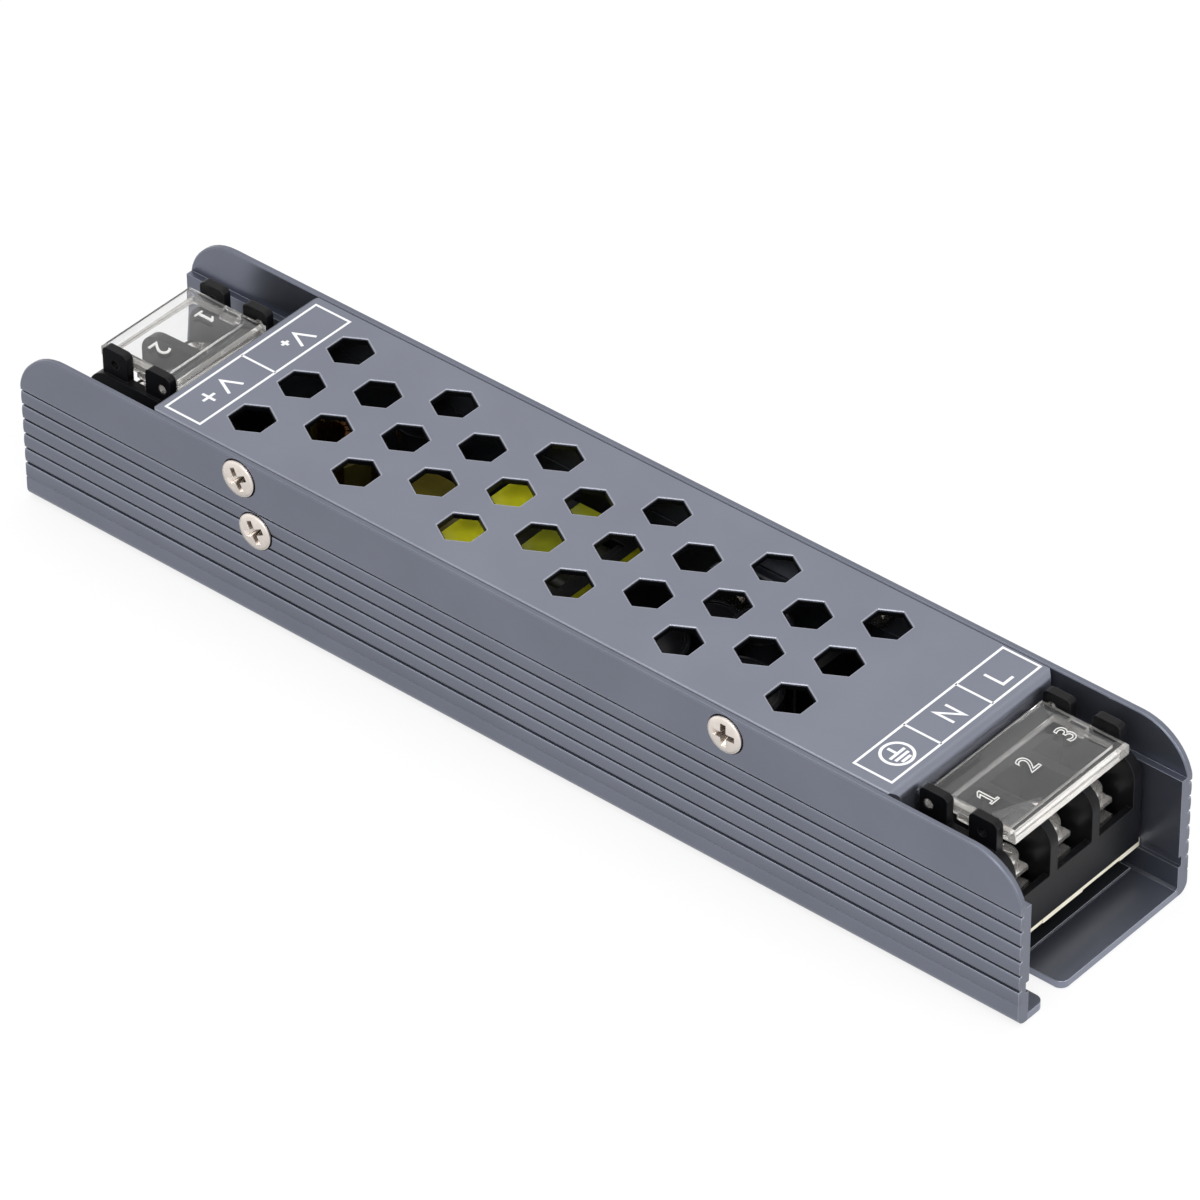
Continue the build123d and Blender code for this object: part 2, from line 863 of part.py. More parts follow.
def bobbin_tube(extra):
    """The space that the bobbin's tube takes round the centre leg."""
    wall = bobbin_wall + extra
    leg_y = (core_y - core_centre_leg / 2 - wall, core_y + core_centre_leg / 2 + wall)
    low, high = core_levels()
    leg_z = (low + core_outer_leg - wall, high - core_outer_leg + wall)
    return slab(core_span(), leg_y, leg_z)


def transformer_bobbin():
    """Tube round the centre leg, two flanges and a pin rail under each yoke."""
    x_low, x_high = core_span()
    gap = winding_gap
    inner = (x_low + core_yoke + gap, x_high - core_yoke - gap)
    y_span = core_faces()
    reach = (y_span[0] + core_outer_leg + gap, y_span[1] - core_outer_leg - gap)
    low, high = core_levels()
    tube = bobbin_tube(0) & slab(inner, (-half_width, half_width), (0, overall_height))
    bobbin = tube
    for span in ((inner[0], inner[0] + bobbin_wall), (inner[1] - bobbin_wall, inner[1])):
        bobbin = bobbin + slab(span, reach, (low + gap, high - gap))
        rail = (span[0] - 1, span[1] + 1)
        bobbin = bobbin + slab(rail, reach, (board_top, low - tape_thickness - 0.1))
        bobbin = bobbin + slab(span, reach, (board_top, low + 1))
    leg_y = (core_y - core_centre_leg / 2 - 0.1, core_y + core_centre_leg / 2 + 0.1)
    leg_z = (low + core_outer_leg - 0.1, high - core_outer_leg + 0.1)
    return bobbin - slab(core_span(), leg_y, leg_z)


# Capacitors

def can(diameter, height, x, y):
    """Sleeved aluminium can with a rolled rim round its sunk top."""
    radius = diameter / 2
    shoulder = radius - can_rim_height
    inner = shoulder - can_rim_width
    sunk = height - can_rim_height
    outline = [
        (0, 0),
        (radius, 0),
        (radius, sunk),
        (shoulder, height),
        (inner, height),
        (inner, sunk),
        (0, sunk),
    ]
    return Pos(x, y, board_top) * turned(outline)


def film_capacitor():
    span = (film_x - film_length / 2, film_x + film_length / 2)
    reach = (film_y - film_width / 2, film_y + film_width / 2)
    body = slab(span, reach, (board_top, board_top + film_height))
    return fillet(body.edges().filter_by(Axis.Z), 0.8)


def dipped_disc(diameter, thickness, x, y, turn):
    """Coated disc on two leads, with its flat faces along the given turn."""
    radius = diameter / 2
    height = board_top + bead_lift + radius
    solid = Pos(0, 0, height) * Rot(90, 0, 0) * Cylinder(radius, thickness)
    for hand in (-1, 1):
        lead_height = bead_lift + radius * 0.6
        lead = post(lead_diameter / 2, lead_height, hand * lead_spacing / 2, 0, board_top)
        solid = solid + lead
    return Pos(x, y, 0) * Rot(0, 0, turn) * solid


# Ring cores

def ring_core(outer, inner, height, x, y):
    body = Cylinder(outer / 2, height) - Cylinder(inner / 2, height)
    lift = board_top + ring_stand_height + wire_diameter + height / 2
    return Pos(x, y, lift) * body


def ring_winding(outer, inner, height, x, y, sectors):
    """Turns of round wire, each a rounded loop, fused along one sector."""
    gap = winding_clearance
    tall = height + 2 * gap + wire_diameter * 2
    lift = board_top + ring_stand_height + wire_diameter + height / 2
    radial_low = inner / 2 - gap - wire_diameter
    radial_high = outer / 2 + gap + wire_diameter
    span = (radial_low, radial_high)
    width = (-wire_diameter / 2, wire_diameter / 2)
    loop = slab(span, width, (-tall / 2, tall / 2))
    hole_x = (inner / 2 - gap, outer / 2 + gap)
    hole = slab(hole_x, (-1, 1), (-height / 2 - gap, height / 2 + gap))
    loop = loop - hole
    turns = []
    step = 360 / (wire_turns + 2)
    for start in sectors:
        for index in range(wire_turns // 2):
            angle = start + step * (index + 0.5)
            turns.append(Pos(x, y, lift) * Rot(0, 0, angle) * loop)
    return turns


# Power transistors

def wall_side_plane(side, depth):
    """Y of a plane that lies the given depth inside a wall's inner face."""
    return side * (wall_face - depth)


def wall_slab(side, x_span, depths, z_span):
    """A slab described by its depths from a wall's inner face."""
    y_span = sorted(wall_side_plane(side, depth) for depth in depths)
    return slab(x_span, y_span, z_span)


def screw_bore(x, side, diameter):
    bore = Rot(90, 0, 0) * Cylinder(diameter / 2, wall_face)
    return Pos(x, side * wall_face * 0.75, clamp_screw_height) * bore


def tab_top():
    return clamp_screw_height + tab_hole_drop


def insulating_pad(x, side):
    reach = package_width / 2 + pad_margin
    levels = (tab_top() - tab_height - package_height, tab_top() + pad_margin / 3)
    pad = wall_slab(side, (x - reach, x + reach), (0, pad_thickness), levels)
    return pad - screw_bore(x, side, tab_hole_diameter)


def power_transistor(x, side):
    """Package with a metal tab that the screw passes through, on three legs."""
    reach = package_width / 2
    span = (x - reach, x + reach)
    body_top = tab_top() - tab_height
    body_low = body_top - package_height
    outer = pad_thickness
    body = wall_slab(side, span, (outer, outer + package_thickness), (body_low, body_top))
    tab = wall_slab(side, span, (outer, outer + tab_thickness), (body_low, tab_top()))
    tab = tab - screw_bore(x, side, tab_hole_diameter)
    solid = body + tab
    for index in (-1, 0, 1):
        centre = x + index * leg_pitch
        leg_x = (centre - leg_width / 2, centre + leg_width / 2)
        depths = (outer + package_thickness - 2 * leg_thickness, outer + package_thickness - leg_thickness)
        solid = solid + wall_slab(side, leg_x, depths, (board_top, body_low + 1))
    return solid


def clamp_bar(x, side):
    """Steel bar that the screw pulls against the tab."""
    outer = pad_thickness + tab_thickness
    reach = clamp_bar_length / 2
    half = clamp_bar_width / 2
    levels = (clamp_screw_height - half, clamp_screw_height + half)
    depths = (outer, outer + clamp_bar_thickness)
    bar = wall_slab(side, (x - reach, x + reach), depths, levels)
    bar = chamfer(bar.edges().filter_by(Axis.Y), 1.0)
    return bar - screw_bore(x, side, side_screw_diameter + 2 * thread_clearance)


# Small board parts

def bridge_rectifier():
    span = (bridge_x - bridge_thickness / 2, bridge_x + bridge_thickness / 2)
    reach = (bridge_y - bridge_width / 2, bridge_y + bridge_width / 2)
    low = board_top + bead_lift
    body = slab(span, reach, (low, low + bridge_height))
    corner = body.edges().filter_by(Axis.X).group_by(Axis.Z)[-1].sort_by(Axis.Y)[-1]
    body = chamfer(corner, 3.0)
    for index in range(4):
        y = bridge_y + (index - 1.5) * bridge_lead_pitch
        body = body + post(lead_diameter / 2, bead_lift + 1, bridge_x, y, board_top)
    return body


def board_box(length, width, height, x, y, rounding):
    body = slab(
        (x - length / 2, x + length / 2),
        (y - width / 2, y + width / 2),
        (board_top, board_top + height),
    )
    return fillet(body.edges().filter_by(Axis.Z), rounding)


def dual_row_chip(length, x, y):
    """Moulded chip with a row of pins on each long side."""
    lift = 0.5
    body = slab(
        (x - length / 2, x + length / 2),
        (y - chip_width / 2, y + chip_width / 2),
        (board_top + lift, board_top + chip_height),
    )
    count = int(length // chip_leg_pitch)
    for index in range(count):
        centre = x + (index - (count - 1) / 2) * chip_leg_pitch
        for side in (-1, 1):
            edge = y + side * (chip_width / 2)
            leg_y = sorted((edge - side * 0.2, edge + side * leg_thickness))
            leg_x = (centre - leg_width / 2, centre + leg_width / 2)
            body = body + slab(leg_x, leg_y, (board_top, board_top + chip_height / 2))
    return body


def resistor(side):
    """Axial resistor that lies beside the transformer, on its two bent leads."""
    y = core_y + side * resistor_lane
    lift = board_top + resistor_diameter / 2 + 0.4
    body = Rot(0, 90, 0) * Cylinder(resistor_diameter / 2, resistor_length)
    wire = Rot(0, 90, 0) * Cylinder(lead_diameter / 2, resistor_length + 4)
    solid = Pos(resistor_x, y, lift) * (body + wire)
    for hand in (-1, 1):
        x = resistor_x + hand * (resistor_length / 2 + 2 - lead_diameter / 2)
        solid = solid + post(lead_diameter / 2, lift - board_top, x, y, board_top)
    return solid


def main():
    os.makedirs("parts", exist_ok=True)
    save("base_channel", base_channel())
    save("top_cover", top_cover())
    cover_screws = [
        side_screw(x, side, cover_screw_height, side_screw_length) for x, side in cover_screw_places()
    ]
    save("cover_screws", *cover_screws)
    clamp_screws = [
        side_screw(x, side, clamp_screw_height, clamp_screw_length) for x, side in clamp_screw_places()
    ]
    save("clamp_screws", *clamp_screws)
    save("insulating_sheet", insulating_sheet())
    save("circuit_board", circuit_board())

    blocks = (
        TerminalBlock("input", input_poles, input_near_gap, input_far_gap, input_face_inset, 1),
        TerminalBlock("output", output_poles, output_near_gap, output_far_gap, output_face_inset, -1),
    )
    for block in blocks:
        save(f"{block.name}_block_body", block_body(block))
        save(f"{block.name}_lid", terminal_lid(block))
        plates = [terminal_plate(block, y) for y in block.bay_centres()]
        save(f"{block.name}_terminal_plates", *plates)
        for number, y in enumerate(block.bay_centres(), start=1):
            save(f"{block.name}_screw_{number}", terminal_screw(block, y))
            save(f"{block.name}_washer_{number}", clamp_washer(block, y))

    save("transformer_core", *core_halves())
    save("transformer_bobbin", transformer_bobbin())
    save("transformer_winding", transformer_winding())
    x_low, x_high = core_span()
    yoke_strips = [
        tape_strip(x_low - tape_thickness, yoke_tape_output_width),
        tape_strip(x_high + tape_thickness - yoke_tape_input_width, yoke_tape_input_width),
    ]
    save("transformer_yoke_tape", *yoke_strips)
    save("transformer_middle_tape", tape_strip(x_low + middle_tape_start, middle_tape_width))

    bulk_cans = [can(bulk_diameter, bulk_height, x, bulk_y) for x in (bulk_input_x, bulk_output_x)]
    save("bulk_capacitors", *bulk_cans)
    filter_cans = [
        can(small_can_diameter, short_can_height, short_can_x, filter_can_y),
        can(small_can_diameter, tall_can_height, tall_can_x, filter_can_y),
    ]
    save("filter_capacitors", *filter_cans)
    output_places = (
        (output_can_end_x, -output_can_y),
        (output_can_mid_x, -output_can_y),
        (output_can_far_x, output_can_y),
    )
    output_cans = [post(small_can_diameter / 2, output_can_height, x, y, board_top) for x, y in output_places]
    save("output_capacitors", *output_cans)
    save("film_capacitor", film_capacitor())
    disc = dipped_disc(disc_diameter, disc_thickness, disc_capacitor_x, disc_capacitor_y, 0)
    save("safety_capacitor", disc)

    choke = (choke_outer_diameter, choke_inner_diameter, choke_height, choke_x, choke_y)
    save("choke_core", ring_core(*choke))
    save("choke_winding", *ring_winding(*choke, (0, 180)))
    inductor = (inductor_outer_diameter, inductor_inner_diameter, inductor_height, inductor_x, inductor_y)
    save("output_inductor_core", ring_core(*inductor))
    save("output_inductor_winding", *ring_winding(*inductor, (0, 180)))

    places = clamp_screw_places()
    save("insulating_pads", *[insulating_pad(x, side) for x, side in places])
    save("output_rectifier", power_transistor(*places[0]))
    save("switching_transistor", power_transistor(*places[1]))
    save("clamp_bars", *[clamp_bar(x, side) for x, side in places])

    save("bridge_rectifier", bridge_rectifier())
    save("fuse", board_box(fuse_width, fuse_length, fuse_height, fuse_x, fuse_y, 0.6))
    save("varistor", dipped_disc(varistor_diameter, bead_thickness, thermistor_x, varistor_y, 90))
    save("thermistor", dipped_disc(thermistor_diameter, bead_thickness, thermistor_x, thermistor_y, 90))
    save("controller_chip", dual_row_chip(chip_length, chip_x, chip_y))
    save("optocoupler", dual_row_chip(coupler_length, coupler_x, chip_y))
    drive = board_box(drive_coil_side, drive_coil_side, drive_coil_height, drive_coil_x, drive_coil_y, 1.5)
    save("drive_transformer", drive)
    save("resistors", *[resistor(side) for side in (-1, 1)])


main()
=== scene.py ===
import math

import bmesh
import bpy
from mathutils import Matrix, Vector


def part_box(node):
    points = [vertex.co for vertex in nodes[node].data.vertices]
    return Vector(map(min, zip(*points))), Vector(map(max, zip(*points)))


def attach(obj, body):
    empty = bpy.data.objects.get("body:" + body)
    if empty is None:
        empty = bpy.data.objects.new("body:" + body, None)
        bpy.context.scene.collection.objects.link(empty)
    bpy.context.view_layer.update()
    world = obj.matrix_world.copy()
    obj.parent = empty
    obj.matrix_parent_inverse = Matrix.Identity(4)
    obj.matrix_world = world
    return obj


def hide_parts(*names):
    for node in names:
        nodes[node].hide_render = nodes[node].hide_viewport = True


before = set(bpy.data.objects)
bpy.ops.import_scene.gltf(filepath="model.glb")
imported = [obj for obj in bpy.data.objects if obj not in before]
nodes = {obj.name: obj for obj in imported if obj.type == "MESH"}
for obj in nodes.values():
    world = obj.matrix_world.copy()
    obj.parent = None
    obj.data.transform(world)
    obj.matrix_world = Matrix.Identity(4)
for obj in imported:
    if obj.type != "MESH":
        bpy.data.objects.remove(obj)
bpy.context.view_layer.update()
MM = 0.001

# Camera. The photograph looks down on the input end and the near side wall
# through a long lens, so the edges hardly converge.
VIEW_AZIMUTH = math.radians(40.861)
VIEW_ELEVATION = math.radians(38.844)
VIEW_ROLL = math.radians(-0.646)
VIEW_DISTANCE = 1.2162
FOCAL_LENGTH = 236.27
SENSOR = 36.0
SHIFT = (0.00943, 0.0718)

toward = Vector((
    math.sin(VIEW_AZIMUTH) * math.cos(VIEW_ELEVATION),
    -math.cos(VIEW_AZIMUTH) * math.cos(VIEW_ELEVATION),
    math.sin(VIEW_ELEVATION),
))
level = Vector((math.cos(VIEW_AZIMUTH), math.sin(VIEW_AZIMUTH), 0))
upright = toward.cross(level)
across = math.cos(VIEW_ROLL) * level + math.sin(VIEW_ROLL) * upright
above = -math.sin(VIEW_ROLL) * level + math.cos(VIEW_ROLL) * upright
lens = bpy.data.cameras.new("photo_camera")
lens.lens = FOCAL_LENGTH
lens.sensor_width = SENSOR
lens.sensor_fit = "HORIZONTAL"
lens.shift_x, lens.shift_y = SHIFT
camera = bpy.data.objects.new("photo_camera", lens)
bpy.context.scene.collection.objects.link(camera)
turn = Matrix((across, above, toward)).transposed().to_4x4()
camera.matrix_world = Matrix.Translation(toward * VIEW_DISTANCE) @ turn
bpy.context.scene.camera = camera

# Studio. A white table and plain white surroundings, one large soft lamp above
# and behind, and weaker ones from the front, the input end and beside the camera.
WHITE = (1, 1, 1, 1)
TABLE_COLOUR = (0.9, 0.9, 0.9, 1)
TABLE_SIZE = 3.0
TABLE_DROP = 0.2 * MM
TABLE_WHITE_SHARE = 0.8
BACKDROP_STRENGTH = 1.0
ROOM_LIGHT = 0.75
# Each lamp's place and side in metres, and its power in watts.
LAMPS = {
    "top_lamp": ((-0.14, 0.12, 1.15), 0.8, 4.2),
    "front_lamp": ((0.25, -1.1, 0.6), 0.7, 2.2),
    "end_lamp": ((1.1, 0.1, 0.55), 0.5, 4.1),
    "near_lamp": ((0.55, -0.62, 1.05), 0.4, 3.8),
}


def add_node(tree, kind, **values):
    """A new node with its settings."""
    node = tree.nodes.new(kind)
    for key, value in values.items():
        setattr(node, key, value)
    return node


def feed(tree, socket, value):
    """Sets a socket to a constant, or links it to another socket."""
    if isinstance(value, bpy.types.NodeSocket):
        tree.links.new(value, socket)
    else:
        socket.default_value = value


def math_node(tree, operation, *values):
    """One Math node, each value a number or another node's socket."""
    node = add_node(tree, "ShaderNodeMath", operation=operation)
    for socket, value in zip(node.inputs, values):
        feed(tree, socket, value)
    return node.outputs[0]


def seen_rays(tree):
    """1 for the rays that show a backdrop: camera, glossy and transmission."""
    path = add_node(tree, "ShaderNodeLightPath").outputs
    seen = math_node(tree, "MAXIMUM", path["Is Camera Ray"], path["Is Glossy Ray"])
    return math_node(tree, "MAXIMUM", seen, path["Is Transmission Ray"])


def white_glow(tree, kind, strength):
    """A white Background or Emission node's shader."""
    node = add_node(tree, kind)
    node.inputs["Color"].default_value = WHITE
    node.inputs["Strength"].default_value = strength
    return node.outputs[0]


def mix_to_output(tree, share, first, second, output_kind):
    """Ends a tree in a mix of two shaders."""
    mix = add_node(tree, "ShaderNodeMixShader")
    for socket, value in zip(mix.inputs, (share, first, second)):
        tree.links.new(value, socket)
    surface = add_node(tree, output_kind).inputs["Surface"]
    tree.links.new(mix.outputs["Shader"], surface)


def soft_lamp(name, place, size, power):
    """A square area lamp that faces the object."""
    lamp = bpy.data.lights.new(name, "AREA")
    lamp.shape = "SQUARE"
    lamp.size = size
    lamp.energy = power
    holder = bpy.data.objects.new(name, lamp)
    bpy.context.scene.collection.objects.link(holder)
    holder.location = place
    holder.rotation_euler = Vector(place).to_track_quat("Z", "Y").to_euler()


world = bpy.data.worlds.new("studio_room")
bpy.context.scene.world = world
world.use_nodes = True
room = world.node_tree
room.nodes.clear()
room_light = white_glow(room, "ShaderNodeBackground", ROOM_LIGHT)
room_seen = white_glow(room, "ShaderNodeBackground", BACKDROP_STRENGTH)
mix_to_output(room, seen_rays(room), room_light, room_seen, "ShaderNodeOutputWorld")

for name, (place, size, power) in LAMPS.items():
    soft_lamp(name, place, size, power)

table_finish = bpy.data.materials.new("table_finish")
table_finish.use_nodes = True
table_tree = table_finish.node_tree
table_tree.nodes.clear()
table_shade = add_node(table_tree, "ShaderNodeBsdfDiffuse")
table_shade.inputs["Color"].default_value = TABLE_COLOUR
table_white = white_glow(table_tree, "ShaderNodeEmission", BACKDROP_STRENGTH)
table_share = math_node(table_tree, "MULTIPLY", seen_rays(table_tree), TABLE_WHITE_SHARE)
mix_to_output(
    table_tree, table_share, table_shade.outputs["BSDF"], table_white,
    "ShaderNodeOutputMaterial",
)
half = TABLE_SIZE / 2
corners = ((-half, -half), (half, -half), (half, half), (-half, half))
table_mesh = bpy.data.meshes.new("white_table")
table_mesh.from_pydata([(x, y, -TABLE_DROP) for x, y in corners], [], [(0, 1, 2, 3)])
table_mesh.materials.append(table_finish)
table = bpy.data.objects.new("white_table", table_mesh)
bpy.context.scene.collection.objects.link(table)
bpy.context.scene.view_settings.view_transform = "Standard"

# Base channel. One aluminium extrusion, floor and two ribbed walls, cut to
# length, its end corners milled round, then blasted and coated blue-grey.
METAL_COLOUR = (0.165, 0.177, 0.221)
METAL_DARK = (0.148, 0.160, 0.200)
# The edge colour is a painted highlight along edges, also used on the cover's side bends.
METAL_EDGE_HIGHLIGHT = (0.42, 0.435, 0.49)
METAL_ROUGHNESS = (0.29, 0.42)
METAL_SHINE = 0.85
METAL_EDGE_RADIUS = 0.16 * MM
EDGE_REACH = (0.02, 0.25)
CLOUD_SCALE = 60.0
GRAIN_SCALE = 2600.0
GRAIN_STRENGTH = 0.12
GRAIN_RELIEF = 0.05 * MM
# Painted shade in grooves and seams, reaching this far.
GROOVE_REACH = 0.9 * MM
GROOVE_SHADE = 0.85
SEAM_RANGE = (0.3, 0.85)
RIB_SIDE = 19.7 * MM
RIB_PITCH = 2.85 * MM
LOWEST_GROOVE = 6.85 * MM
HIGHEST_GROOVE = 21.1 * MM
FAINT_GROOVE = 4.0 * MM
RIB_ROUNDING = 0.8 * MM
RIB_RELIEF = 0.08 * MM
# Painted light and shade on each rib, lighter at its top and darker at its foot, and a painted
# highlight just under each groove.
RIB_PAINTED_LIGHT_FALL = (1.06, 0.87)
RIB_PAINTED_HIGHLIGHT = 0.42
RIB_PAINTED_HIGHLIGHT_REACH = (0.07, 0.26)
# Painted shade inside the channel, and painted light on the floor towards its ends.
INNER_SIDE = 18.2 * MM
INNER_FLOOR = 1.25 * MM
INNER_PAINTED_SHADE = 0.92
FLOOR_TOP = 1.35 * MM
FLOOR_ENDS = (90.0 * MM, 99.0 * MM)
FLOOR_END_LIGHT = 0.45


def shader_tree(name):
    """A new material with its principled shader, ready to be wired."""
    finish = bpy.data.materials.new(name)
    finish.use_nodes = True
    tree = finish.node_tree
    return finish, tree, tree.nodes["Principled BSDF"]


def split_axes(tree, source):
    """A vector socket, split into X, Y and Z."""
    split = add_node(tree, "ShaderNodeSeparateXYZ")
    tree.links.new(source, split.inputs[0])
    return split.outputs


def object_axes(tree):
    """The Object coordinates, split into X, Y and Z."""
    return split_axes(tree, add_node(tree, "ShaderNodeTexCoord").outputs["Object"])


def facing_axes(tree, label="Normal"):
    """The surface normal, split into X, Y and Z."""
    return split_axes(tree, add_node(tree, "ShaderNodeNewGeometry").outputs[label])


def map_range(tree, value, reach, target=(0.0, 1.0), interpolation="LINEAR"):
    """A value carried from one range to another and held at its ends."""
    node = add_node(tree, "ShaderNodeMapRange", interpolation_type=interpolation)
    for label, bound in zip(("From Min", "From Max", "To Min", "To Max"), (*reach, *target)):
        node.inputs[label].default_value = bound
    tree.links.new(value, node.inputs["Value"])
    return node.outputs["Result"]


def object_noise(tree, scale, detail=2.0, stretch=None):
    """Noise on Object coordinates, stretched along an axis where asked."""
    place = add_node(tree, "ShaderNodeTexCoord").outputs["Object"]
    if stretch:
        mapping = add_node(tree, "ShaderNodeMapping")
        mapping.inputs["Scale"].default_value = stretch
        tree.links.new(place, mapping.inputs["Vector"])
        place = mapping.outputs["Vector"]
    noise = add_node(tree, "ShaderNodeTexNoise")
    noise.inputs["Scale"].default_value = scale
    noise.inputs["Detail"].default_value = detail
    tree.links.new(place, noise.inputs["Vector"])
    return noise.outputs["Fac"]


def ramp(tree, factor, stops):
    """A colour ramp from (position, colour) pairs."""
    node = add_node(tree, "ShaderNodeValToRGB")
    band = node.color_ramp
    while len(band.elements) < len(stops):
        band.elements.new(0.5)
    for element, (position, colour) in zip(band.elements, stops):
        element.position = position
        element.color = (*colour, 1)
    tree.links.new(factor, node.inputs["Fac"])
    return node.outputs["Color"]


def mottled(tree, noise, colour, dark, stops=(0.3, 0.7)):
    """A tone that drifts between a darker and a lighter colour."""
    return ramp(tree, noise, list(zip(stops, (dark, colour))))


def dimmed(colour, share):
    """A plain colour made darker by a share."""
    return tuple(share * channel for channel in colour)


def mix_in(tree, tone, share, colour):
    """Mixes a plain colour over a tone by a share from another node."""
    mix = add_node(tree, "ShaderNodeMix", data_type="RGBA")
    tree.links.new(share, mix.inputs["Factor"])
    tree.links.new(tone, mix.inputs["A"])
    mix.inputs["B"].default_value = (*colour, 1)
    return mix.outputs["Result"]


def scale_tone(tree, tone, share):
    """Multiplies a colour by a share from another node."""
    mix = add_node(tree, "ShaderNodeMix", data_type="RGBA", blend_type="MULTIPLY")
    mix.inputs["Factor"].default_value = 1.0
    tree.links.new(tone, mix.inputs["A"])
    tree.links.new(share, mix.inputs["B"])
    return mix.outputs["Result"]


def rounded_normal(tree, radius, samples=6):
    """The surface normal as if sharp edges were rounded by a radius."""
    soft = add_node(tree, "ShaderNodeBevel", samples=samples)
    soft.inputs["Radius"].default_value = radius
    return soft.outputs["Normal"]


def edge_light(tree, radius, base, edge, reach=EDGE_REACH, half_width=None):
    """Paints a highlight: mixes a lighter colour in where a rounded normal leaves the flat
    one.
    """
    soft = rounded_normal(tree, radius)
    flat = add_node(tree, "ShaderNodeNewGeometry").outputs["Normal"]
    turned = add_node(tree, "ShaderNodeVectorMath", operation="DOT_PRODUCT")
    tree.links.new(soft, turned.inputs[0])
    tree.links.new(flat, turned.inputs[1])
    share = map_range(tree, turned.outputs["Value"], (1 - reach[0], 1 - reach[1]))
    if half_width:
        side = math_node(tree, "ABSOLUTE", object_axes(tree)["Y"])
        within = math_node(tree, "LESS_THAN", side, half_width)
        share = math_node(tree, "MULTIPLY", share, within)
    return mix_in(tree, base, share, edge), soft


def bump(tree, height, strength, distance, normal=None):
    """A relief over a normal, or over the plain surface where none is given."""
    node = add_node(tree, "ShaderNodeBump")
    node.inputs["Strength"].default_value = strength
    node.inputs["Distance"].default_value = distance
    tree.links.new(height, node.inputs["Height"])
    if normal:
        tree.links.new(normal, node.inputs["Normal"])
    return node.outputs["Normal"]


def seam_shade(tree, tone, reach, darkest):
    """Paints shade into a tone where faces stand close together, as inside a groove."""
    near = add_node(tree, "ShaderNodeAmbientOcclusion", samples=8, only_local=True)
    near.inputs["Distance"].default_value = reach
    share = map_range(tree, near.outputs["AO"], SEAM_RANGE, (darkest, 1.0))
    return scale_tone(tree, tone, share)


def base_colour(shader):
    """The socket that feeds a shader's base colour."""
    return shader.inputs["Base Color"].links[0].from_socket


def coated_metal(name, colour, dark, edge_radius, edge_reach=EDGE_REACH, half_width=None):
    """Blasted and coated aluminium: fine grain, soft sheen, painted highlights on edges,
    painted shade in grooves.

    With a half width, edges get the painted highlight only inside it and no normal is rounded.
    """
    finish, tree, shader = shader_tree(name)
    tone = mottled(tree, object_noise(tree, CLOUD_SCALE, 3.0), colour, dark)
    # Painted highlight along the edges.
    tone, soft = edge_light(tree, edge_radius, tone, METAL_EDGE_HIGHLIGHT, edge_reach, half_width)
    # Painted shade in grooves and seams.
    tone = seam_shade(tree, tone, GROOVE_REACH, GROOVE_SHADE)
    tree.links.new(tone, shader.inputs["Base Color"])
    shader.inputs["Metallic"].default_value = METAL_SHINE
    grain = object_noise(tree, GRAIN_SCALE)
    rough = map_range(tree, grain, (0.0, 1.0), METAL_ROUGHNESS)
    tree.links.new(rough, shader.inputs["Roughness"])
    rounded = None if half_width else soft
    relief = bump(tree, grain, GRAIN_STRENGTH, GRAIN_RELIEF, rounded)
    tree.links.new(relief, shader.inputs["Normal"])
    return finish


def both(tree, first, second):
    """1 where two tests, given as (operation, socket, limit), both pass."""
    return math_node(tree, "MULTIPLY", math_node(tree, *first), math_node(tree, *second))


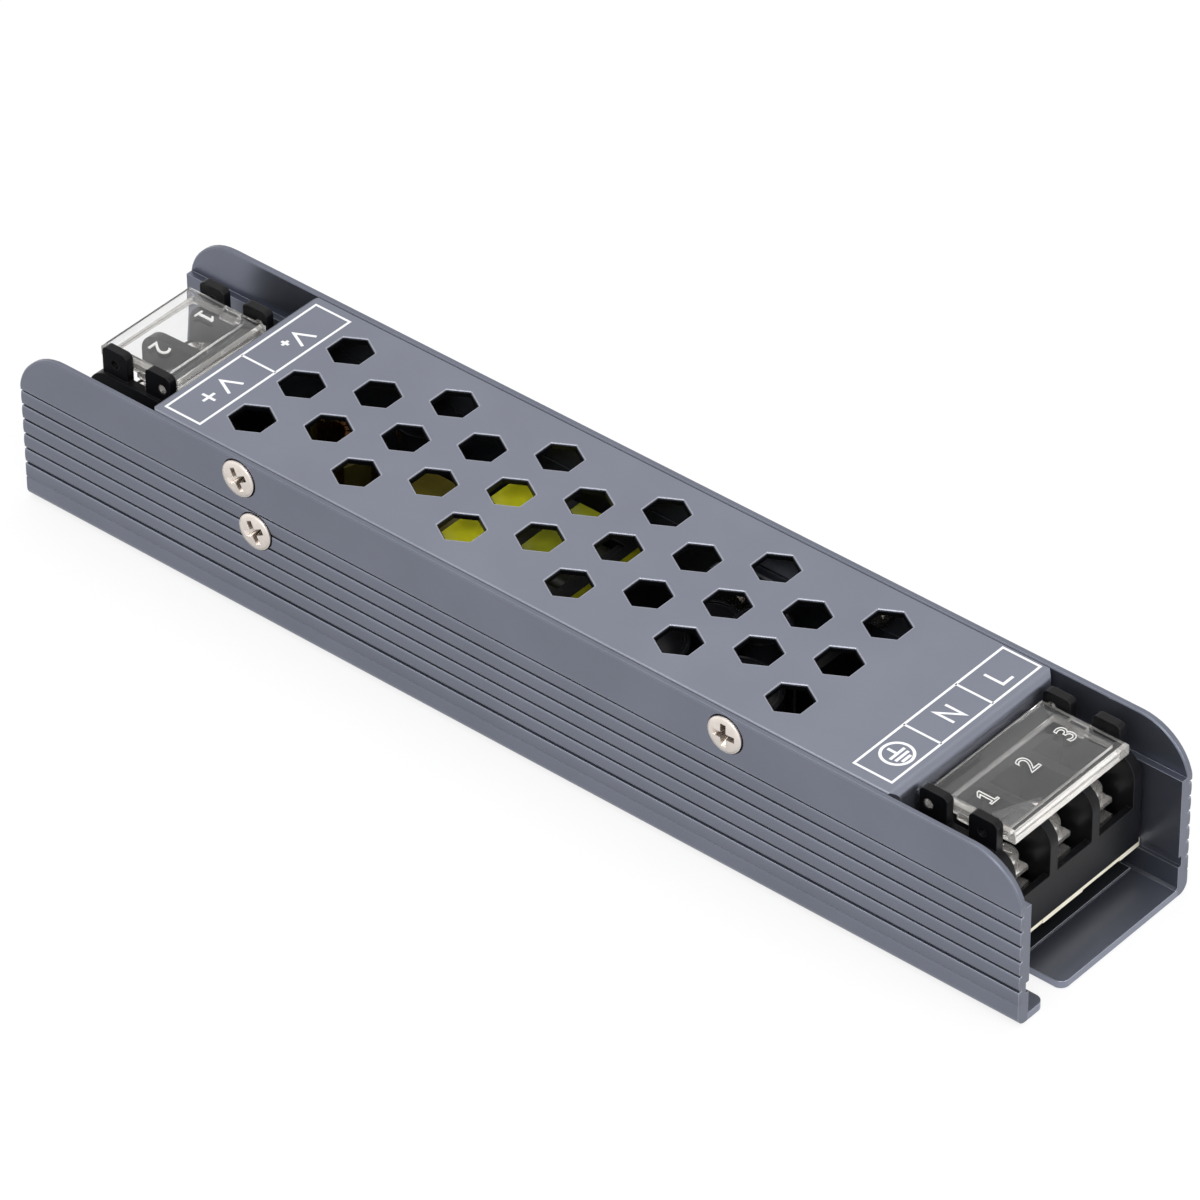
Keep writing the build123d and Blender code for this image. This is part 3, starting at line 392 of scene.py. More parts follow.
def round_ribs(finish):
    """Rounds the ribs beside each groove and paints light and shade on them, paints shade
    inside and light on the floor's ends.
    """
    tree = finish.node_tree
    shader = tree.nodes["Principled BSDF"]
    axes = object_axes(tree)
    side = math_node(tree, "ABSOLUTE", axes["Y"])
    outside = math_node(tree, "GREATER_THAN", side, RIB_SIDE)

    level = math_node(tree, "MAXIMUM", axes["Z"], LOWEST_GROOVE - RIB_ROUNDING)
    level = math_node(tree, "MINIMUM", level, HIGHEST_GROOVE + RIB_ROUNDING)
    above = math_node(tree, "SUBTRACT", level, LOWEST_GROOVE)
    from_groove = math_node(tree, "PINGPONG", above, RIB_PITCH / 2)
    rise = map_range(tree, from_groove, (0.0, RIB_ROUNDING), interpolation="SMOOTHSTEP")
    relief = math_node(tree, "MULTIPLY", rise, outside)
    before = shader.inputs["Normal"].links[0].from_socket
    tree.links.new(bump(tree, relief, 1.0, RIB_RELIEF, before), shader.inputs["Normal"])

    # Painted light and shade along each rib, and a painted highlight under each groove.
    below = math_node(tree, "SUBTRACT", HIGHEST_GROOVE, axes["Z"])
    phase = math_node(tree, "FRACT", math_node(tree, "DIVIDE", below, RIB_PITCH))
    slope = RIB_PAINTED_LIGHT_FALL[1] - RIB_PAINTED_LIGHT_FALL[0]
    painted_fall = math_node(tree, "MULTIPLY_ADD", phase, slope, RIB_PAINTED_LIGHT_FALL[0] - 1)
    painted_lip = map_range(tree, phase, RIB_PAINTED_HIGHLIGHT_REACH, (RIB_PAINTED_HIGHLIGHT, 0.0), "SMOOTHSTEP")
    ribbed = both(
        tree, ("GREATER_THAN", below, 0.0), ("GREATER_THAN", axes["Z"], FAINT_GROOVE),
    )
    ribbed = math_node(tree, "MULTIPLY", ribbed, outside)
    change = math_node(tree, "MULTIPLY", math_node(tree, "ADD", painted_fall, painted_lip), ribbed)

    # Painted shade inside the channel, and painted light on the floor towards its ends.
    in_width = ("LESS_THAN", side, INNER_SIDE)
    inside = both(tree, in_width, ("GREATER_THAN", axes["Z"], INNER_FLOOR))
    inner_shade_share = math_node(tree, "MULTIPLY_ADD", inside, INNER_PAINTED_SHADE - 1, 1.0)
    share = math_node(tree, "ADD", change, inner_shade_share)
    floor = both(tree, in_width, ("LESS_THAN", axes["Z"], FLOOR_TOP))
    along = math_node(tree, "ABSOLUTE", axes["X"])
    end_light = map_range(tree, along, FLOOR_ENDS, (0.0, FLOOR_END_LIGHT))
    share = math_node(tree, "MULTIPLY_ADD", floor, end_light, share)
    tone = scale_tone(tree, base_colour(shader), share)
    tree.links.new(tone, shader.inputs["Base Color"])


def dress(name, finish):
    """Gives every material slot of a CAD node the same better finish."""
    for slot in nodes[name].material_slots:
        slot.material = finish


body_finish = coated_metal("coated_extrusion", METAL_COLOUR, METAL_DARK, METAL_EDGE_RADIUS)
round_ribs(body_finish)
dress("base_channel", body_finish)

# Top cover. One folded sheet of the same coated metal, punched with rows of
# hexagonal vents and screwed between the walls, flush with their tops.
# The cover is the walls' coating made lighter: painted light on its top.
COVER_LIT_COLOUR = (0.214, 0.227, 0.276)
COVER_LIT_DARK = (0.197, 0.209, 0.254)
PUNCHED_BAND = (28.95 * MM, 29.88 * MM)
PUNCHED_MARGIN = 1.6 * MM
PUNCHED_LEAN = (-0.5, 0.95)
# Painted shade on the vents' cut walls; a painted highlight on the cover's side bends.
VENT_PAINTED_SHADE = (0.012, 0.013, 0.016)
# Painted highlight around the vents' rims, only within RIM_SIDE of the middle.
RIM_RADIUS = 0.3 * MM
RIM_REACH = (0.003, 0.03)
RIM_SIDE = 17.9 * MM
BEND_SIDE = 18.95 * MM
BEND_PAINTED_HIGHLIGHT = 0.3


def paint_vent_shade(finish, field):
    """Paints shade on the holes' cut walls and a highlight on the side bends."""
    tree = finish.node_tree
    shader = tree.nodes["Principled BSDF"]
    axes = object_axes(tree)
    side = math_node(tree, "ABSOLUTE", axes["Y"])
    upward = facing_axes(tree, "True Normal")["Z"]
    punched = math_node(tree, "LESS_THAN", side, RIM_SIDE)
    for socket, (low, high) in (
        (axes["Z"], PUNCHED_BAND),
        (axes["X"], field),
        (upward, PUNCHED_LEAN),
    ):
        passed = both(tree, ("GREATER_THAN", socket, low), ("LESS_THAN", socket, high))
        punched = math_node(tree, "MULTIPLY", punched, passed)
    # Painted shade on the vents' cut walls.
    tone = mix_in(tree, base_colour(shader), punched, VENT_PAINTED_SHADE)
    # Painted highlight on the side bends.
    bend = math_node(tree, "GREATER_THAN", side, BEND_SIDE)
    bend = math_node(tree, "MULTIPLY", bend, BEND_PAINTED_HIGHLIGHT)
    tree.links.new(mix_in(tree, tone, bend, METAL_EDGE_HIGHLIGHT), shader.inputs["Base Color"])


cover_low, cover_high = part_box("top_cover")
punched_field = (cover_low.x + PUNCHED_MARGIN, cover_high.x - PUNCHED_MARGIN)
cover_finish = coated_metal(
    "coated_sheet", COVER_LIT_COLOUR, COVER_LIT_DARK, RIM_RADIUS, RIM_REACH, RIM_SIDE,
)
paint_vent_shade(cover_finish, punched_field)
dress("top_cover", cover_finish)

# Print on the cover. White ink screened on the sheet: a frame at each end,
# divided into one cell per terminal, with the terminal's sign in each cell.
INK_COLOUR = (0.80, 0.81, 0.82)
INK_THICKNESS = 0.02
INK_LAYER = 0.004
INK_BASE = 30.0
FRAME_LINE = 0.42
MITRE_LIMIT = 0.35
SAME_POINT = 0.0001 * MM
INK_DARK = 0.93
INK_MOTTLE = 900.0
INK_STOPS = (0.2, 0.6)
INK_ROUGHNESS = 0.55
OUTPUT_FRAME = (-71.0, -63.85, -17.5, 17.3)
OUTPUT_DIVIDERS = (-0.1,)
INPUT_FRAME = (65.85, 72.95, -16.9, 18.4)
INPUT_DIVIDERS = (-5.24, 7.06)
SIGN_LINE = 0.5
EARTH_PLACE = (69.4, -11.2)
EARTH_SIZE = 2.55
EARTH_RING_POINTS = 48


def finish_mesh(name, shape):
    """Turns a filled bmesh into an object at the origin."""
    bmesh.ops.remove_doubles(shape, verts=shape.verts, dist=SAME_POINT)
    bmesh.ops.recalc_face_normals(shape, faces=shape.faces)
    mesh = bpy.data.meshes.new(name)
    shape.to_mesh(mesh)
    shape.free()
    piece = bpy.data.objects.new(name, mesh)
    bpy.context.scene.collection.objects.link(piece)
    return piece


def add_prism(shape, outline, low, high):
    """An upright prism over a flat outline, all in millimetres."""
    bottom = [shape.verts.new((x * MM, y * MM, low * MM)) for x, y in outline]
    top = [shape.verts.new((x * MM, y * MM, high * MM)) for x, y in outline]
    shape.faces.new(top)
    shape.faces.new(list(reversed(bottom)))
    count = len(outline)
    for index in range(count):
        following = (index + 1) % count
        shape.faces.new((bottom[index], bottom[following], top[following], top[index]))


def add_stroke(shape, points, width, low, high, closed=False):
    """A line of ink: mitred ribbon pieces, one prism for each stretch."""
    path = [Vector(point) for point in points]
    count = len(path)
    left, right = [], []
    for index, point in enumerate(path):
        before = path[index - 1] if index > 0 or closed else None
        after = path[(index + 1) % count] if index < count - 1 or closed else None
        if before is None:
            along = (after - point).normalized()
            offset = Vector((-along.y, along.x)) * width / 2
        elif after is None:
            along = (point - before).normalized()
            offset = Vector((-along.y, along.x)) * width / 2
        else:
            first = (point - before).normalized()
            second = (after - point).normalized()
            bisector = Vector((-first.y - second.y, first.x + second.x)).normalized()
            normal = Vector((-first.y, first.x))
            offset = bisector * (width / 2) / max(MITRE_LIMIT, bisector.dot(normal))
        left.append(point + offset)
        right.append(point - offset)
    steps = count if closed else count - 1
    for index in range(steps):
        following = (index + 1) % count
        corners = [right[index], right[following], left[following], left[index]]
        add_prism(shape, corners, low, high)


def turned_stroke(points, centre, size, quarter):
    """Glyph points, first up the page, turned by quarter turns and placed."""
    placed = []
    for x, y in points:
        for _ in range(quarter % 4):
            x, y = -y, x
        placed.append((centre[0] + x * size, centre[1] + y * size))
    return placed


def circle_points(centre, radius, count):
    """Points round a circle, for a closed line."""
    x, y = centre
    angles = [2 * math.pi * index / count for index in range(count)]
    return [(x + radius * math.cos(angle), y + radius * math.sin(angle)) for angle in angles]


V_SIGN = [[(-0.5, 0.5), (0, -0.5), (0.5, 0.5)]]
PLUS_SIGN = [[(-0.5, 0), (0.5, 0)], [(0, -0.5), (0, 0.5)]]
N_SIGN = [[(-0.34, -0.5), (-0.34, 0.5), (0.34, -0.5), (0.34, 0.5)]]
L_SIGN = [[(-0.32, 0.5), (-0.32, -0.5), (0.34, -0.5)]]
EARTH_SIGN = [
    [(0, 0.72), (0, 0)],
    [(-0.68, 0), (0.68, 0)],
    [(-0.6, -0.35), (0.6, -0.35)],
    [(-0.4, -0.68), (0.4, -0.68)],
]

ink_high = INK_BASE + INK_THICKNESS
print_shape = bmesh.new()
for (low_x, high_x, low_y, high_y), dividers in (
    (OUTPUT_FRAME, OUTPUT_DIVIDERS),
    (INPUT_FRAME, INPUT_DIVIDERS),
):
    loop = [(low_x, low_y), (high_x, low_y), (high_x, high_y), (low_x, high_y)]
    add_stroke(print_shape, loop, FRAME_LINE, INK_BASE, ink_high, closed=True)
    for y in dividers:
        add_stroke(print_shape, [(low_x, y), (high_x, y)], FRAME_LINE, INK_BASE, ink_high)
# Output signs read from the output end, input signs from the input end.
SIGNS = (
    (V_SIGN, (-66.9, 9.4), 3.3, 3),
    (PLUS_SIGN, (-67.9, 6.6), 1.5, 3),
    (V_SIGN, (-67.35, -7.1), 3.3, 3),
    (PLUS_SIGN, (-67.5, -11.5), 2.7, 3),
    (N_SIGN, (69.5, 1.05), 3.6, 1),
    (L_SIGN, (69.5, 12.7), 3.6, 1),
    (EARTH_SIGN, EARTH_PLACE, EARTH_SIZE, 1),
)
for strokes, centre, size, quarter in SIGNS:
    for layer, stroke in enumerate(strokes):
        points = turned_stroke(stroke, centre, size, quarter)
        top = ink_high + layer * INK_LAYER
        add_stroke(print_shape, points, SIGN_LINE, INK_BASE, top)
ring = circle_points(EARTH_PLACE, EARTH_SIZE, EARTH_RING_POINTS)
add_stroke(print_shape, ring, SIGN_LINE, INK_BASE, ink_high, closed=True)
cover_print = finish_mesh("cover_print", print_shape)

ink_finish, ink_tree, ink_shader = shader_tree("screen_ink")
ink_noise = object_noise(ink_tree, INK_MOTTLE, 3.0)
ink_tone = mottled(ink_tree, ink_noise, INK_COLOUR, dimmed(INK_COLOUR, INK_DARK), INK_STOPS)
ink_tree.links.new(ink_tone, ink_shader.inputs["Base Color"])
ink_shader.inputs["Roughness"].default_value = INK_ROUGHNESS
cover_print.data.materials.append(ink_finish)
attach(cover_print, "housing")

# Cover and clamp screws. Countersunk cross-recess screws, nickel plated steel,
# driven through the walls into the cover's flanges and the transistor clamps.
# They are grown on loose points: four for the cover, two for the clamps.
# A lean paints light on what faces up and shade on what faces down.
NICKEL_COLOUR = (0.90, 0.83, 0.77)
NICKEL_DARK = (0.80, 0.72, 0.66)
# Painted light by facing: shares for faces turned down and up.
NICKEL_PAINTED_LIGHT = (0.45, 1.12)
PAINTED_LIGHT_FACING = (-0.5, 0.5)
NICKEL_ROUGHNESS = 0.24
ROUGHNESS_SPREAD = (-0.06, 0.12)
HAZE_SCALE = 900.0
HAZE_STOPS = (0.25, 0.65)
MARK_SCALE = 1500.0
FINE_SCALE = 5000.0
FINE_STRENGTH = 0.1
FINE_RELIEF = 0.03 * MM
RECESS_REACH = 1.4 * MM
RECESS_SHADE = 0.6
RECESS_TAPER = 0.38
NICKEL_ROUND = 0.15 * MM
SCREW_SEED = 7
SCREW_SIDES = 56
DOME_RINGS = 20
CROWN_SHARE = 0.96
CONE_OVERLAP = 0.98
THREAD_CORE = 0.84
SIDE_SCREW = {
    "Head Radius": 3.2 * MM,
    "Head Edge": 0.3 * MM,
    "Dome Height": 0.36 * MM,
    "Shank Radius": 1.5 * MM,
    "Recess Length": 4.3 * MM,
    "Recess Width": 1.1 * MM,
    "Recess Depth": 1.9 * MM,
    "Thread Pitch": 0.5 * MM,
    "Side Facing": 1.0,
    "First Turn": 0.9,
}
COVER_SCREW_LENGTH = 5.5 * MM
CLAMP_SCREW_LENGTH = 7.6 * MM
HEAD_RISE = 0.2 * MM
SMOOTH_ANGLE = math.radians(32)


def plated_metal(name, light, dark, roughness, shine=1.0, lean=None):
    """Bright plated steel with faint turning marks, handling haze, painted shade in recesses
    and, with a lean, painted light by facing.
    """
    finish, tree, shader = shader_tree(name)
    haze = object_noise(tree, HAZE_SCALE, 4.0)
    tone = mottled(tree, haze, light, dark, HAZE_STOPS)
    # Painted shade in recesses such as the cross.
    tone = seam_shade(tree, tone, RECESS_REACH, RECESS_SHADE)
    # Painted light by facing: lighter up, painted shade down.
    if lean:
        upward = map_range(tree, facing_axes(tree)["Z"], PAINTED_LIGHT_FACING, lean)
        tone = scale_tone(tree, tone, upward)
    tree.links.new(tone, shader.inputs["Base Color"])
    shader.inputs["Metallic"].default_value = shine
    marks = object_noise(tree, MARK_SCALE)
    spread = [roughness + step for step in ROUGHNESS_SPREAD]
    rough = map_range(tree, marks, (0.0, 1.0), spread)
    tree.links.new(rough, shader.inputs["Roughness"])
    soft = rounded_normal(tree, NICKEL_ROUND, samples=4)
    fine = object_noise(tree, FINE_SCALE, 1.0)
    relief = bump(tree, fine, FINE_STRENGTH, FINE_RELIEF, soft)
    tree.links.new(relief, shader.inputs["Normal"])
    return finish


def new_geometry_tree(name, sizes):
    """A Geometry Nodes tree with one named float input for each size."""
    tree = bpy.data.node_groups.new(name, "GeometryNodeTree")
    face = tree.interface
    face.new_socket(name="Geometry", in_out="INPUT", socket_type="NodeSocketGeometry")
    for label, value in sizes.items():
        socket = face.new_socket(name=label, in_out="INPUT", socket_type="NodeSocketFloat")
        socket.default_value = value
    face.new_socket(name="Geometry", in_out="OUTPUT", socket_type="NodeSocketGeometry")
    start = tree.nodes.new("NodeGroupInput")
    finish = tree.nodes.new("NodeGroupOutput")
    return tree, start.outputs, finish.inputs["Geometry"]


def negative(tree, value):
    """A length turned downward."""
    return math_node(tree, "MULTIPLY", value, -1.0)


def combine(tree, x, y, z):
    """A vector from three values."""
    node = add_node(tree, "ShaderNodeCombineXYZ")
    for socket, value in zip(node.inputs, (x, y, z)):
        feed(tree, socket, value)
    return node.outputs[0]


def frustum(tree, sides, top, bottom, depth):
    """A cone frustum that hangs below Z 0, its top face on Z 0."""
    node = add_node(tree, "GeometryNodeMeshCone")
    labels = ("Vertices", "Radius Top", "Radius Bottom", "Depth")
    for label, value in zip(labels, (sides, top, bottom, depth)):
        feed(tree, node.inputs[label], value)
    return moved(tree, node.outputs["Mesh"], z=negative(tree, depth))


def moved(tree, geometry, z=0.0, turn=0.0, scale=None):
    """A geometry scaled, turned about Z and raised along it."""
    node = add_node(tree, "GeometryNodeTransform")
    tree.links.new(geometry, node.inputs["Geometry"])
    tree.links.new(combine(tree, 0.0, 0.0, z), node.inputs["Translation"])
    node.inputs["Rotation"].default_value = (0, 0, turn)
    if scale:
        tree.links.new(combine(tree, *scale), node.inputs["Scale"])
    return node.outputs["Geometry"]


def dome(tree, radius, height):
    """A flattened ball that rises the given height over Z 0."""
    ball = add_node(tree, "GeometryNodeMeshUVSphere")
    ball.inputs["Segments"].default_value = SCREW_SIDES
    ball.inputs["Rings"].default_value = DOME_RINGS
    ball.inputs["Radius"].default_value = 1.0
    return moved(tree, ball.outputs["Mesh"], scale=(radius, radius, height))


def union(tree, *parts):
    """Closed meshes joined into one skin."""
    node = add_node(tree, "GeometryNodeMeshBoolean", operation="UNION", solver="EXACT")
    for part in parts:
        tree.links.new(part, node.inputs["Mesh 2"])
    return node.outputs["Mesh"]


def cross_cut(tree, head, sizes, top):
    """Cuts a cross recess with tapered wings down into a head."""
    node = add_node(tree, "GeometryNodeMeshBoolean", operation="DIFFERENCE", solver="EXACT")
    tree.links.new(head, node.inputs["Mesh 1"])
    half_side = math.sqrt(0.5)
    long_side = sizes["Recess Length"]
    short_side = sizes["Recess Width"]
    for scale in ((long_side, short_side), (short_side, long_side)):
        wing = frustum(tree, 4, half_side, half_side * RECESS_TAPER, 1.0)
        square = moved(tree, wing, turn=math.radians(45))
        cut = moved(tree, square, z=top, scale=(*scale, sizes["Recess Depth"]))
        tree.links.new(cut, node.inputs["Mesh 2"])
    return node.outputs["Mesh"]


def thread(tree, sizes, start_depth, length):
    """Ridges stacked down the shank, one for each turn of the thread."""
    pitch = sizes["Thread Pitch"]
    core = math_node(tree, "MULTIPLY", sizes["Shank Radius"], THREAD_CORE)
    ridge = frustum(tree, SCREW_SIDES // 2, core, sizes["Shank Radius"], pitch)
    line = add_node(tree, "GeometryNodeMeshLine")
    turns = math_node(tree, "FLOOR", math_node(tree, "DIVIDE", length, pitch))
    feed(tree, line.inputs["Count"], turns)
    start = combine(tree, 0.0, 0.0, negative(tree, start_depth))
    feed(tree, line.inputs["Start Location"], start)
    feed(tree, line.inputs["Offset"], combine(tree, 0.0, 0.0, negative(tree, pitch)))
    copies = add_node(tree, "GeometryNodeInstanceOnPoints")
    tree.links.new(line.outputs["Mesh"], copies.inputs["Points"])
    tree.links.new(ridge, copies.inputs["Instance"])
    return copies.outputs["Instances"]


def join(tree, *parts):
    """Several geometries kept as one."""
    node = add_node(tree, "GeometryNodeJoinGeometry")
    for part in parts:
        tree.links.new(part, node.inputs["Geometry"])
    return node.outputs["Geometry"]


def plant(tree, points, screw, sizes, seed, finish, target):
    """Puts a screw on every point, facing its wall, each turned differently."""
    place = add_node(tree, "GeometryNodeInputPosition").outputs["Position"]
    hand = math_node(tree, "SIGN", split_axes(tree, place)["Y"])
    lean = math_node(tree, "MULTIPLY", hand, -math.pi / 2)
    tilt = math_node(tree, "MULTIPLY", lean, sizes["Side Facing"])
    copies = add_node(tree, "GeometryNodeInstanceOnPoints")
    tree.links.new(points, copies.inputs["Points"])
    tree.links.new(screw, copies.inputs["Instance"])
    tree.links.new(combine(tree, tilt, 0.0, 0.0), copies.inputs["Rotation"])
    random_turn = add_node(tree, "FunctionNodeRandomValue", data_type="FLOAT")
    random_turn.inputs[2].default_value = 0.0
    random_turn.inputs[3].default_value = math.pi / 2
    random_turn.inputs["Seed"].default_value = seed
    spin = add_node(tree, "GeometryNodeRotateInstances")
    tree.links.new(copies.outputs["Instances"], spin.inputs["Instances"])
    angle = math_node(tree, "ADD", random_turn.outputs[1], sizes["First Turn"])
    tree.links.new(combine(tree, 0.0, 0.0, angle), spin.inputs["Rotation"])
    real = add_node(tree, "GeometryNodeRealizeInstances")
    tree.links.new(spin.outputs["Instances"], real.inputs["Geometry"])
    paint = add_node(tree, "GeometryNodeSetMaterial")
    paint.inputs["Material"].default_value = finish
    tree.links.new(real.outputs["Geometry"], paint.inputs["Geometry"])
    tree.links.new(paint.outputs["Geometry"], target)


def grown(name, tree, points, values):
    """Evaluates a tree on loose points and keeps the result as a plain mesh."""
    loose = bpy.data.meshes.new(name + "_points")
    loose.from_pydata(points, [], [])
    piece = bpy.data.objects.new(name, loose)
    bpy.context.scene.collection.objects.link(piece)
    modifier = piece.modifiers.new("grown_parts", "NODES")
    modifier.node_group = tree
    for item in tree.interface.items_tree:
        if item.item_type == "SOCKET" and item.in_out == "INPUT" and item.name in values:
            modifier[item.identifier] = values[item.name]
    graph = bpy.context.evaluated_depsgraph_get()
    plain = bpy.data.meshes.new_from_object(piece.evaluated_get(graph), depsgraph=graph)
    piece.modifiers.remove(modifier)
    piece.data = plain
    plain.name = name
    plain.shade_smooth()
    plain.set_sharp_from_angle(angle=SMOOTH_ANGLE)
    return piece


nickel_finish = plated_metal(
    "nickel_plate", NICKEL_COLOUR, NICKEL_DARK, NICKEL_ROUGHNESS, lean=NICKEL_PAINTED_LIGHT,
)
side_tree, side_sizes, side_result = new_geometry_tree(
    "countersunk_screw", {**SIDE_SCREW, "Length": COVER_SCREW_LENGTH},
)
side_head_radius = side_sizes["Head Radius"]
side_shank_radius = side_sizes["Shank Radius"]
side_edge = side_sizes["Head Edge"]
cone_depth = math_node(side_tree, "SUBTRACT", side_head_radius, side_shank_radius)
rim = frustum(side_tree, SCREW_SIDES, side_head_radius, side_head_radius, side_edge)
cone = moved(
    side_tree,
    frustum(side_tree, SCREW_SIDES, side_head_radius, side_shank_radius, cone_depth),
    z=math_node(side_tree, "MULTIPLY", side_edge, -CONE_OVERLAP),
)
crown_radius = math_node(side_tree, "MULTIPLY", side_head_radius, CROWN_SHARE)
crown = dome(side_tree, crown_radius, side_sizes["Dome Height"])
side_solid = union(side_tree, rim, cone, crown)
side_head = cross_cut(side_tree, side_solid, side_sizes, side_sizes["Dome Height"])
thread_start = math_node(side_tree, "ADD", cone_depth, side_edge)
thread_length = math_node(side_tree, "SUBTRACT", side_sizes["Length"], thread_start)
side_shank = thread(side_tree, side_sizes, thread_start, thread_length)
side_screw = join(side_tree, side_head, side_shank)
plant(
    side_tree, side_sizes["Geometry"], side_screw, side_sizes, SCREW_SEED, nickel_finish,
    side_result,
)

wall_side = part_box("base_channel")[1].y + HEAD_RISE
cover_screw_low, cover_screw_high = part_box("cover_screws")
clamp_screw_low, clamp_screw_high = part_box("clamp_screws")
head_radius = SIDE_SCREW["Head Radius"]
cover_screw_rows = (cover_screw_low.x + head_radius, cover_screw_high.x - head_radius)
cover_level = cover_screw_high.z - head_radius
cover_points = [
    (x, side * wall_side, cover_level) for side in (-1, 1) for x in cover_screw_rows
]
clamp_level = clamp_screw_high.z - head_radius
clamp_points = [
    (clamp_screw_low.x + head_radius, -wall_side, clamp_level),
    (clamp_screw_high.x - head_radius, wall_side, clamp_level),
]
for name, points, length in (
    ("cover_screws", cover_points, COVER_SCREW_LENGTH),
    ("clamp_screws", clamp_points, CLAMP_SCREW_LENGTH),
):
    screws = grown("detailed_" + name, side_tree, points, {**SIDE_SCREW, "Length": length})
    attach(screws, "housing")
    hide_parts(name)

# Insulating sheet. Black polyester film that lies on the floor under the
# board, with a painted highlight along its edges.
FILM_COLOUR = (0.017, 0.018, 0.021)
FILM_DARK = (0.010, 0.011, 0.013)
# Painted highlight along the film's edges.
FILM_EDGE_HIGHLIGHT = (0.62, 0.64, 0.70)
EDGE_HIGHLIGHT_RADIUS = 0.22 * MM
FILM_MOTTLE = 120.0
FILM_ROUGHNESS = 0.35
FILM_SHEEN = 0.3

sheet_finish, sheet_tree, sheet_shader = shader_tree("black_film")
sheet_noise = object_noise(sheet_tree, FILM_MOTTLE, 3.0)
sheet_tone = mottled(sheet_tree, sheet_noise, FILM_COLOUR, FILM_DARK)
# Painted highlight along the edges.
sheet_tone = edge_light(sheet_tree, EDGE_HIGHLIGHT_RADIUS, sheet_tone, FILM_EDGE_HIGHLIGHT)[0]
sheet_tree.links.new(sheet_tone, sheet_shader.inputs["Base Color"])
sheet_shader.inputs["Roughness"].default_value = FILM_ROUGHNESS
sheet_shader.inputs["Specular IOR Level"].default_value = FILM_SHEEN
dress("insulating_sheet", sheet_finish)

# Circuit board. Glass-fibre board, 1.6 mm, slid into the wall slots; green-black
# solder mask on its faces, bare cream laminate on its cut edges.
BOARD_MASK = (0.020, 0.030, 0.022)
BOARD_EDGE = (0.98, 0.93, 0.76)
BOARD_EDGE_DARK = 0.86
BOARD_LAYERS = (1, 1, 6)
BOARD_MOTTLE = 400.0
BOARD_STOPS = (0.3, 0.6)
BOARD_ROUGHNESS = 0.45
BOARD_SHEEN = 0.2

board_finish, board_tree, board_shader = shader_tree("laminate")
board_noise = object_noise(board_tree, BOARD_MOTTLE, 3.0, BOARD_LAYERS)
board_dark = dimmed(BOARD_EDGE, BOARD_EDGE_DARK)
board_tone = mottled(board_tree, board_noise, BOARD_EDGE, board_dark, BOARD_STOPS)
board_flat = math_node(board_tree, "ABSOLUTE", facing_axes(board_tree)["Z"])
board_tone = mix_in(board_tree, board_tone, board_flat, BOARD_MASK)
board_tree.links.new(board_tone, board_shader.inputs["Base Color"])
board_shader.inputs["Roughness"].default_value = BOARD_ROUGHNESS
board_shader.inputs["Specular IOR Level"].default_value = BOARD_SHEEN
dress("circuit_board", board_finish)

# Terminal blocks. Black glass-filled nylon barrier blocks, moulded in one
# piece and soldered to the board; fine texture, painted highlights on the edges.
NYLON_COLOUR = (0.0055, 0.0055, 0.0065)
# Painted highlight along the blocks' edges.
NYLON_EDGE_HIGHLIGHT = (0.030, 0.031, 0.035)
NYLON_ROUGHNESS = 0.34
MOULDED_DARK = 0.8
MOULDED_SHEEN = 0.16
MOULDED_MOTTLE = 300.0
MOULD_TEXTURE = 4000.0
MOULD_STRENGTH = 0.2
MOULD_RELIEF = 0.04 * MM


def moulded_plastic(name, colour, edge, roughness):
    """Moulded or wrapped plastic: drifting tone, painted edge highlights, fine texture."""
    finish, tree, shader = shader_tree(name)
    noise = object_noise(tree, MOULDED_MOTTLE, 3.0)
    tone = mottled(tree, noise, colour, dimmed(colour, MOULDED_DARK))
    # Painted highlight along the edges.
    tone, soft = edge_light(tree, EDGE_HIGHLIGHT_RADIUS, tone, edge)
    tree.links.new(tone, shader.inputs["Base Color"])
    shader.inputs["Roughness"].default_value = roughness
    shader.inputs["Specular IOR Level"].default_value = MOULDED_SHEEN
    texture = object_noise(tree, MOULD_TEXTURE)
    relief = bump(tree, texture, MOULD_STRENGTH, MOULD_RELIEF, soft)
    tree.links.new(relief, shader.inputs["Normal"])
    return finish


nylon_finish = moulded_plastic("black_nylon", NYLON_COLOUR, NYLON_EDGE_HIGHLIGHT, NYLON_ROUGHNESS)
for name in ("input_block_body", "output_block_body"):
    dress(name, nylon_finish)

# Clamp hardware. Nickel-plated steel: a pan-head screw through a loose square
# washer into a threaded plate, one set in each bay; the wire end goes between
# washer and plate. Screw and washer slide together, the plate stays.
PAN_SCREW = {
    "Head Radius": 3.1 * MM,
    "Head Height": 1.7 * MM,
    "Dome Height": 0.7 * MM,
    "Shank Radius": 1.75 * MM,
    "Length": 7.0 * MM,
    "Recess Length": 4.3 * MM,
    "Recess Width": 1.0 * MM,
    "Recess Depth": 1.8 * MM,
    "Thread Pitch": 0.7 * MM,
    "Side Facing": 0.0,
    "First Turn": 0.0,
}
SCREW_TURN_STEP = 0.55
CLAMP_SCREW_SEED = 3
HARDWARE_ROUND = 0.16 * MM
ROUND_STEPS = 3
WELD_DISTANCE = 0.002 * MM
FLAT_ANGLE = math.radians(1)
SHARP_ANGLE = math.radians(38)
CLAMPS = {"input": 3, "output": 2}
TERMINAL_NICKEL = (0.96, 0.93, 0.89)
TERMINAL_NICKEL_DARK = (0.84, 0.80, 0.76)
TERMINAL_ROUGHNESS = 0.2
TERMINAL_SHINE = 0.8


